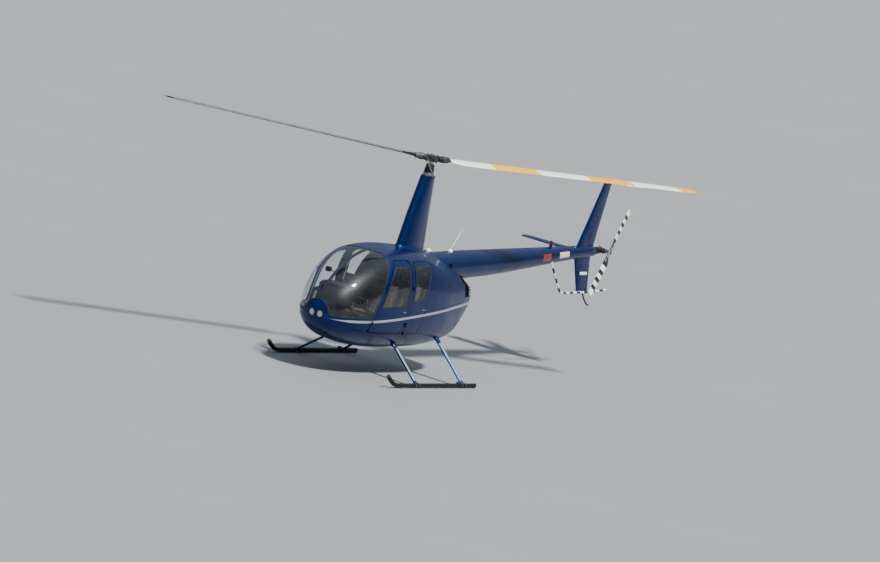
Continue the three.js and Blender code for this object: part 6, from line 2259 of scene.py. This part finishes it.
SHIELD_HALF = 0.272
SHIELD_RISE = (0, 0.012, 0.020, 0.026, 0.030, 0.032, 0.033, 0.033, 0.031, 0.028, 0.023, 0.015)


def add_glareshield(panel):
    rows = []
    for x, rise in zip(np.linspace(-2.085, -1.835, len(SHIELD_RISE)), SHIELD_RISE):
        row = []
        for y in np.linspace(-SHIELD_HALF, SHIELD_HALF, 25):
            drop_off = 0.050 * (abs(y) / SHIELD_HALF) ** 4
            bend = 0.040 * (y / SHIELD_HALF) ** 2 * (-1.835 - x) / 0.25
            row.append(Vector((x + bend, y, 1.303 + rise - drop_off)))
        rows.append(row)
    panel.sheet(rows, 0.005)
    lip = [p + Vector((0.001, 0, 0.002)) for p in rows[-1]]
    panel.tube(lip, 0.006, 10, 0)


def add_radios(panel):
    """Radio faces on the pedestal's slope, each with a window and knobs."""
    low, high = Vector((-1.690, 0, 0.900)), Vector((-1.850, 0, 1.040))
    up, normal, turn = slope(low, high)
    for share, height in ((0.20, 0.044), (0.46, 0.044), (0.73, 0.050)):
        centre = low + (high - low) * share + normal * 0.002
        panel.block(centre, (0.162, height, 0.008), turn, 0.002, 1)
        panel.block(centre + normal * 0.0035 + up * 0.006, (0.084, height * 0.42, 0.003), turn, 0.0008, 6)
        for y in (-0.066, 0.066):
            panel.turned(centre + Vector((0, y, 0)), normal,
                         [(0.002, 0.0095), (0.014, 0.0085), (0.016, 0.0065)], 16, 4)
        for k in range(5):
            place = centre + Vector((0, -0.034 + 0.017 * k, 0)) - up * 0.013 + normal * 0.0045
            panel.block(place, (0.011, 0.006, 0.004), turn, 0.001, 3)
    for side in BOTH:
        for z in np.linspace(0.66, 0.98, 6):
            panel.stud((-1.760 if z < 0.9 else -1.86, side * 0.1095, z), (0, side, 0), 0.005, 0.002, 10, 4)


PEDAL_X, PEDAL_Z = -1.960, 0.705
PEDAL_TILT = math.radians(-28)


def add_cyclic():
    """Cyclic stick with its boot, crossbar and grips."""
    stick = Piece("cyclic_and_crossbar", SATIN, METAL, RED, TRIM)
    stick.turned((-1.580, 0, 0.6105), (0, 0, 1),
                 [(0, 0.052), (0.004, 0.052), (0.010, 0.044), (0.020, 0.040), (0.026, 0.030),
                  (0.034, 0.034), (0.042, 0.026), (0.050, 0.029), (0.060, 0.019)], 28, 3)
    line = smooth_rows([(-1.580, 0, 0.640), (-1.580, 0, 0.700), (-1.585, 0, 0.800), (-1.600, 0, 1.000),
                        (-1.560, 0, 1.140)], 6)
    stick.tube(line, 0.0135, 18, 0)
    stick.turned((-1.566, 0, 1.118), (0.03, 0, 1),
                 [(0, 0.017), (0.006, 0.021), (0.046, 0.021), (0.052, 0.016)], 24, 1)
    bar = smooth_rows([(-1.560, -0.322, 1.152), (-1.560, -0.200, 1.150), (-1.560, -0.110, 1.146),
                       (-1.560, 0.110, 1.146), (-1.560, 0.200, 1.150), (-1.560, 0.322, 1.152)], 5)
    stick.tube(bar, 0.0118, 18, 0)
    for y in (-0.330, 0.330):
        run = Vector((0.005, 0, -0.155)).normalized()
        start = Vector((-1.560, y, 1.166))
        grip = [(0, 0.010), (0.004, 0.0155), (0.020, 0.0160), (0.045, 0.0142)]
        for k in range(4):
            grip += [(0.055 + 0.022 * k, 0.0158), (0.066 + 0.022 * k, 0.0146)]
        grip += [(0.146, 0.0168), (0.153, 0.0165), (0.156, 0.012)]
        stick.turned(start, run, grip, 24, 3)
        stick.turned(start + Vector((0.012, 0, -0.010)), (1, 0, 0.2),
                     [(0, 0.006), (0.007, 0.006), (0.009, 0.0045)], 14, 2)
        stick.block(start + Vector((-0.018, 0, -0.030)), (0.012, 0.012, 0.024), None, 0.003, 1)
    stick.done("fuselage", ("cyclic_stick",))


def add_pedals_and_collectives():
    levers = Piece("pedals_and_collectives", SATIN, METAL, TRIM)
    turn = Matrix.Rotation(PEDAL_TILT, 3, "Y")
    for side in BOTH:
        near, far = ((PEDAL_X, side * y, PEDAL_Z) for y in (0.112, 0.330))
        levers.rod(near, far, 0.010, sides=16, slot=1)
        for y in (0.165, 0.285):
            foot = Vector((PEDAL_X, side * y, PEDAL_Z))
            levers.tube([foot, foot + Vector((0.010, 0, 0.050)), foot + Vector((0.034, 0, 0.100))],
                        0.008, 12, 1)
            levers.block(foot + Vector((0.036, 0, 0.112)), (0.012, 0.082, 0.078), turn, 0.003)
            for k in range(4):
                rib = foot + turn @ Vector((0.0065, 0, -0.026 + 0.017 * k)) + Vector((0.036, 0, 0.112))
                levers.block(rib, (0.003, 0.070, 0.006), turn, 0.001, 2)
            levers.tube([foot, foot + Vector((0.004, 0, -0.040)), foot + Vector((0.020, 0, -0.086))],
                        0.007, 12, 1)
    for y in (0.0, -0.530):
        line = smooth_rows([(-1.020, y, 0.930), (-1.150, y, 0.950), (-1.320, y, 1.000),
                            (-1.440, y, 1.045)], 6)
        end = Vector(line[-1])
        levers.tube(line, 0.0105, 16, 1)
        run = end - Vector(line[-7])
        grip = [(-0.020, 0.012), (-0.014, 0.0165)]
        for k in range(5):
            grip += [(0.018 * k, 0.0172), (0.018 * k + 0.009, 0.0158)]
        grip += [(0.100, 0.0172), (0.106, 0.014)]
        levers.turned(end, run, grip, 24, 0)
        head = end + run.normalized() * 0.122 + Vector((0, 0, 0.004))
        levers.block(head, (0.036, 0.034, 0.030), None, 0.006, 2)
        levers.block((-1.015, y, 0.905), (0.046, 0.034, 0.090), None, 0.005, 2)
    levers.done("fuselage")


def add_compass_and_headsets():
    """Compass hung from the windshield bow, and headset hooks on the roof."""
    small = Piece("compass_and_hooks", TRIM, DIAL, METAL)
    place = Vector((-2.120, 0.125, 1.505))
    bow = pod_cap(place.x, 0)
    small.block(place, (0.066, 0.084, 0.070), None, 0.012)
    small.turned(place + Vector((0.030, 0, 0)), (1, 0, 0),
                 [(0, 0.024), (0.006, 0.024), (0.010, 0.020), (0.012, 0.010)], 24, 1)
    small.rod(place + Vector((0, -0.020, 0.020)), bow - Vector((0, 0, 0.022)), 0.006, sides=12)
    for y in (-0.30, 0.30):
        for x in (-1.060, -0.300):
            roof = pod_cap(x, y)
            spot = roof - pod_normal(roof) * (WALL + 0.001)
            small.tube([spot, spot + Vector((0, 0, -0.022)), spot + Vector((0.016, 0, -0.034)),
                        spot + Vector((0.030, 0, -0.022))], 0.0035, 10, 2)
            small.turned(spot, (0, 0, -1), [(0, 0.016), (0.005, 0.016), (0.007, 0.012)], 20, 0)
    small.done("fuselage")


DOOR_TRIMS = {"front": ((-1.560, -0.935), (0.775, 1.065)), "rear": ((-0.735, -0.420), (0.775, 1.150))}


def add_door_trims():
    """Padded panel, pocket, armrest and inside handle on each door."""
    for name, side in SIDES:
        for door, ((x0, x1), (z0, z1)) in DOOR_TRIMS.items():
            trim = Piece(f"{door}_door_trim_{name}", LINER, LEATHER, METAL, SATIN)

            def on(u, v, depth):
                slant = 0.10 * (1 - v) if door == "front" else 0
                return pod_side(x0 - slant + (x1 - x0 + slant) * u, z0 + (z1 - z0) * v, side, WALL + depth)

            def panel(u0, u1, v0, v1, base, thick, slot):
                rings = []
                for u in np.linspace(0, 1, 17):
                    front, rear = [], []
                    for v in np.linspace(0, 1, 13):
                        puff = (max(0.0, math.sin(math.pi * u)) * max(0.0, math.sin(math.pi * v))) ** 0.22
                        spot = (u0 + (u1 - u0) * u, v0 + (v1 - v0) * v)
                        front.append(on(*spot, base + 0.0012 + thick * puff))
                        rear.append(on(*spot, base))
                    rings.append(front + rear[::-1])
                trim.loft(rings, slot)
            panel(0.03, 0.97, 0.02, 0.98, 0.0006, 0.006, 0)
            panel(0.12, 0.90, 0.08, 0.46, 0.0076, 0.009, 1)
            panel(0.30, 0.86, 0.66, 0.78, 0.0076, 0.030, 1)
            spot = on(0.84, 0.90, 0.012)
            trim.turned(on(0.84, 0.90, 0.004), (0, -side, 0), [(0, 0.018), (0.005, 0.018), (0.008, 0.014)],
                        24, 3)
            trim.tube([spot, spot + Vector((-0.030, -side * 0.012, 0)),
                       spot + Vector((-0.075, -side * 0.014, -0.004))], 0.0055, 12, 2, flat=0.7)
            trim.done(f"door_{door}_{name}")


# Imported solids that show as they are, with finished materials
LEFT_AS_PACKED = {"engine_block": ENGINE, "cooling_fan": METAL}


add_camera()
add_world()
add_floor()
add_sun()
build_pod()
add_tail_cone()
add_cone_patches()
add_upper_fin()
add_lower_fin()
add_stabilizer()
add_tail_guard()
add_tail_gearbox()
add_main_blades()
add_grips()
add_hub()
add_mast()
add_swashplates()
add_tail_rotor()
add_mast_fairing()
add_skids()
add_struts()
add_beacon()
add_antennas()
add_lamps()
add_rear_grille()
add_exhaust()
add_seats()
add_floor_and_boxes()
add_floor_mats()
add_bulkhead()
add_instrument_panel()
add_cyclic()
add_pedals_and_collectives()
add_compass_and_headsets()
add_door_trims()
drop_cutters()
for node, material in LEFT_AS_PACKED.items():
    dress(frame["nodes"][node], material)
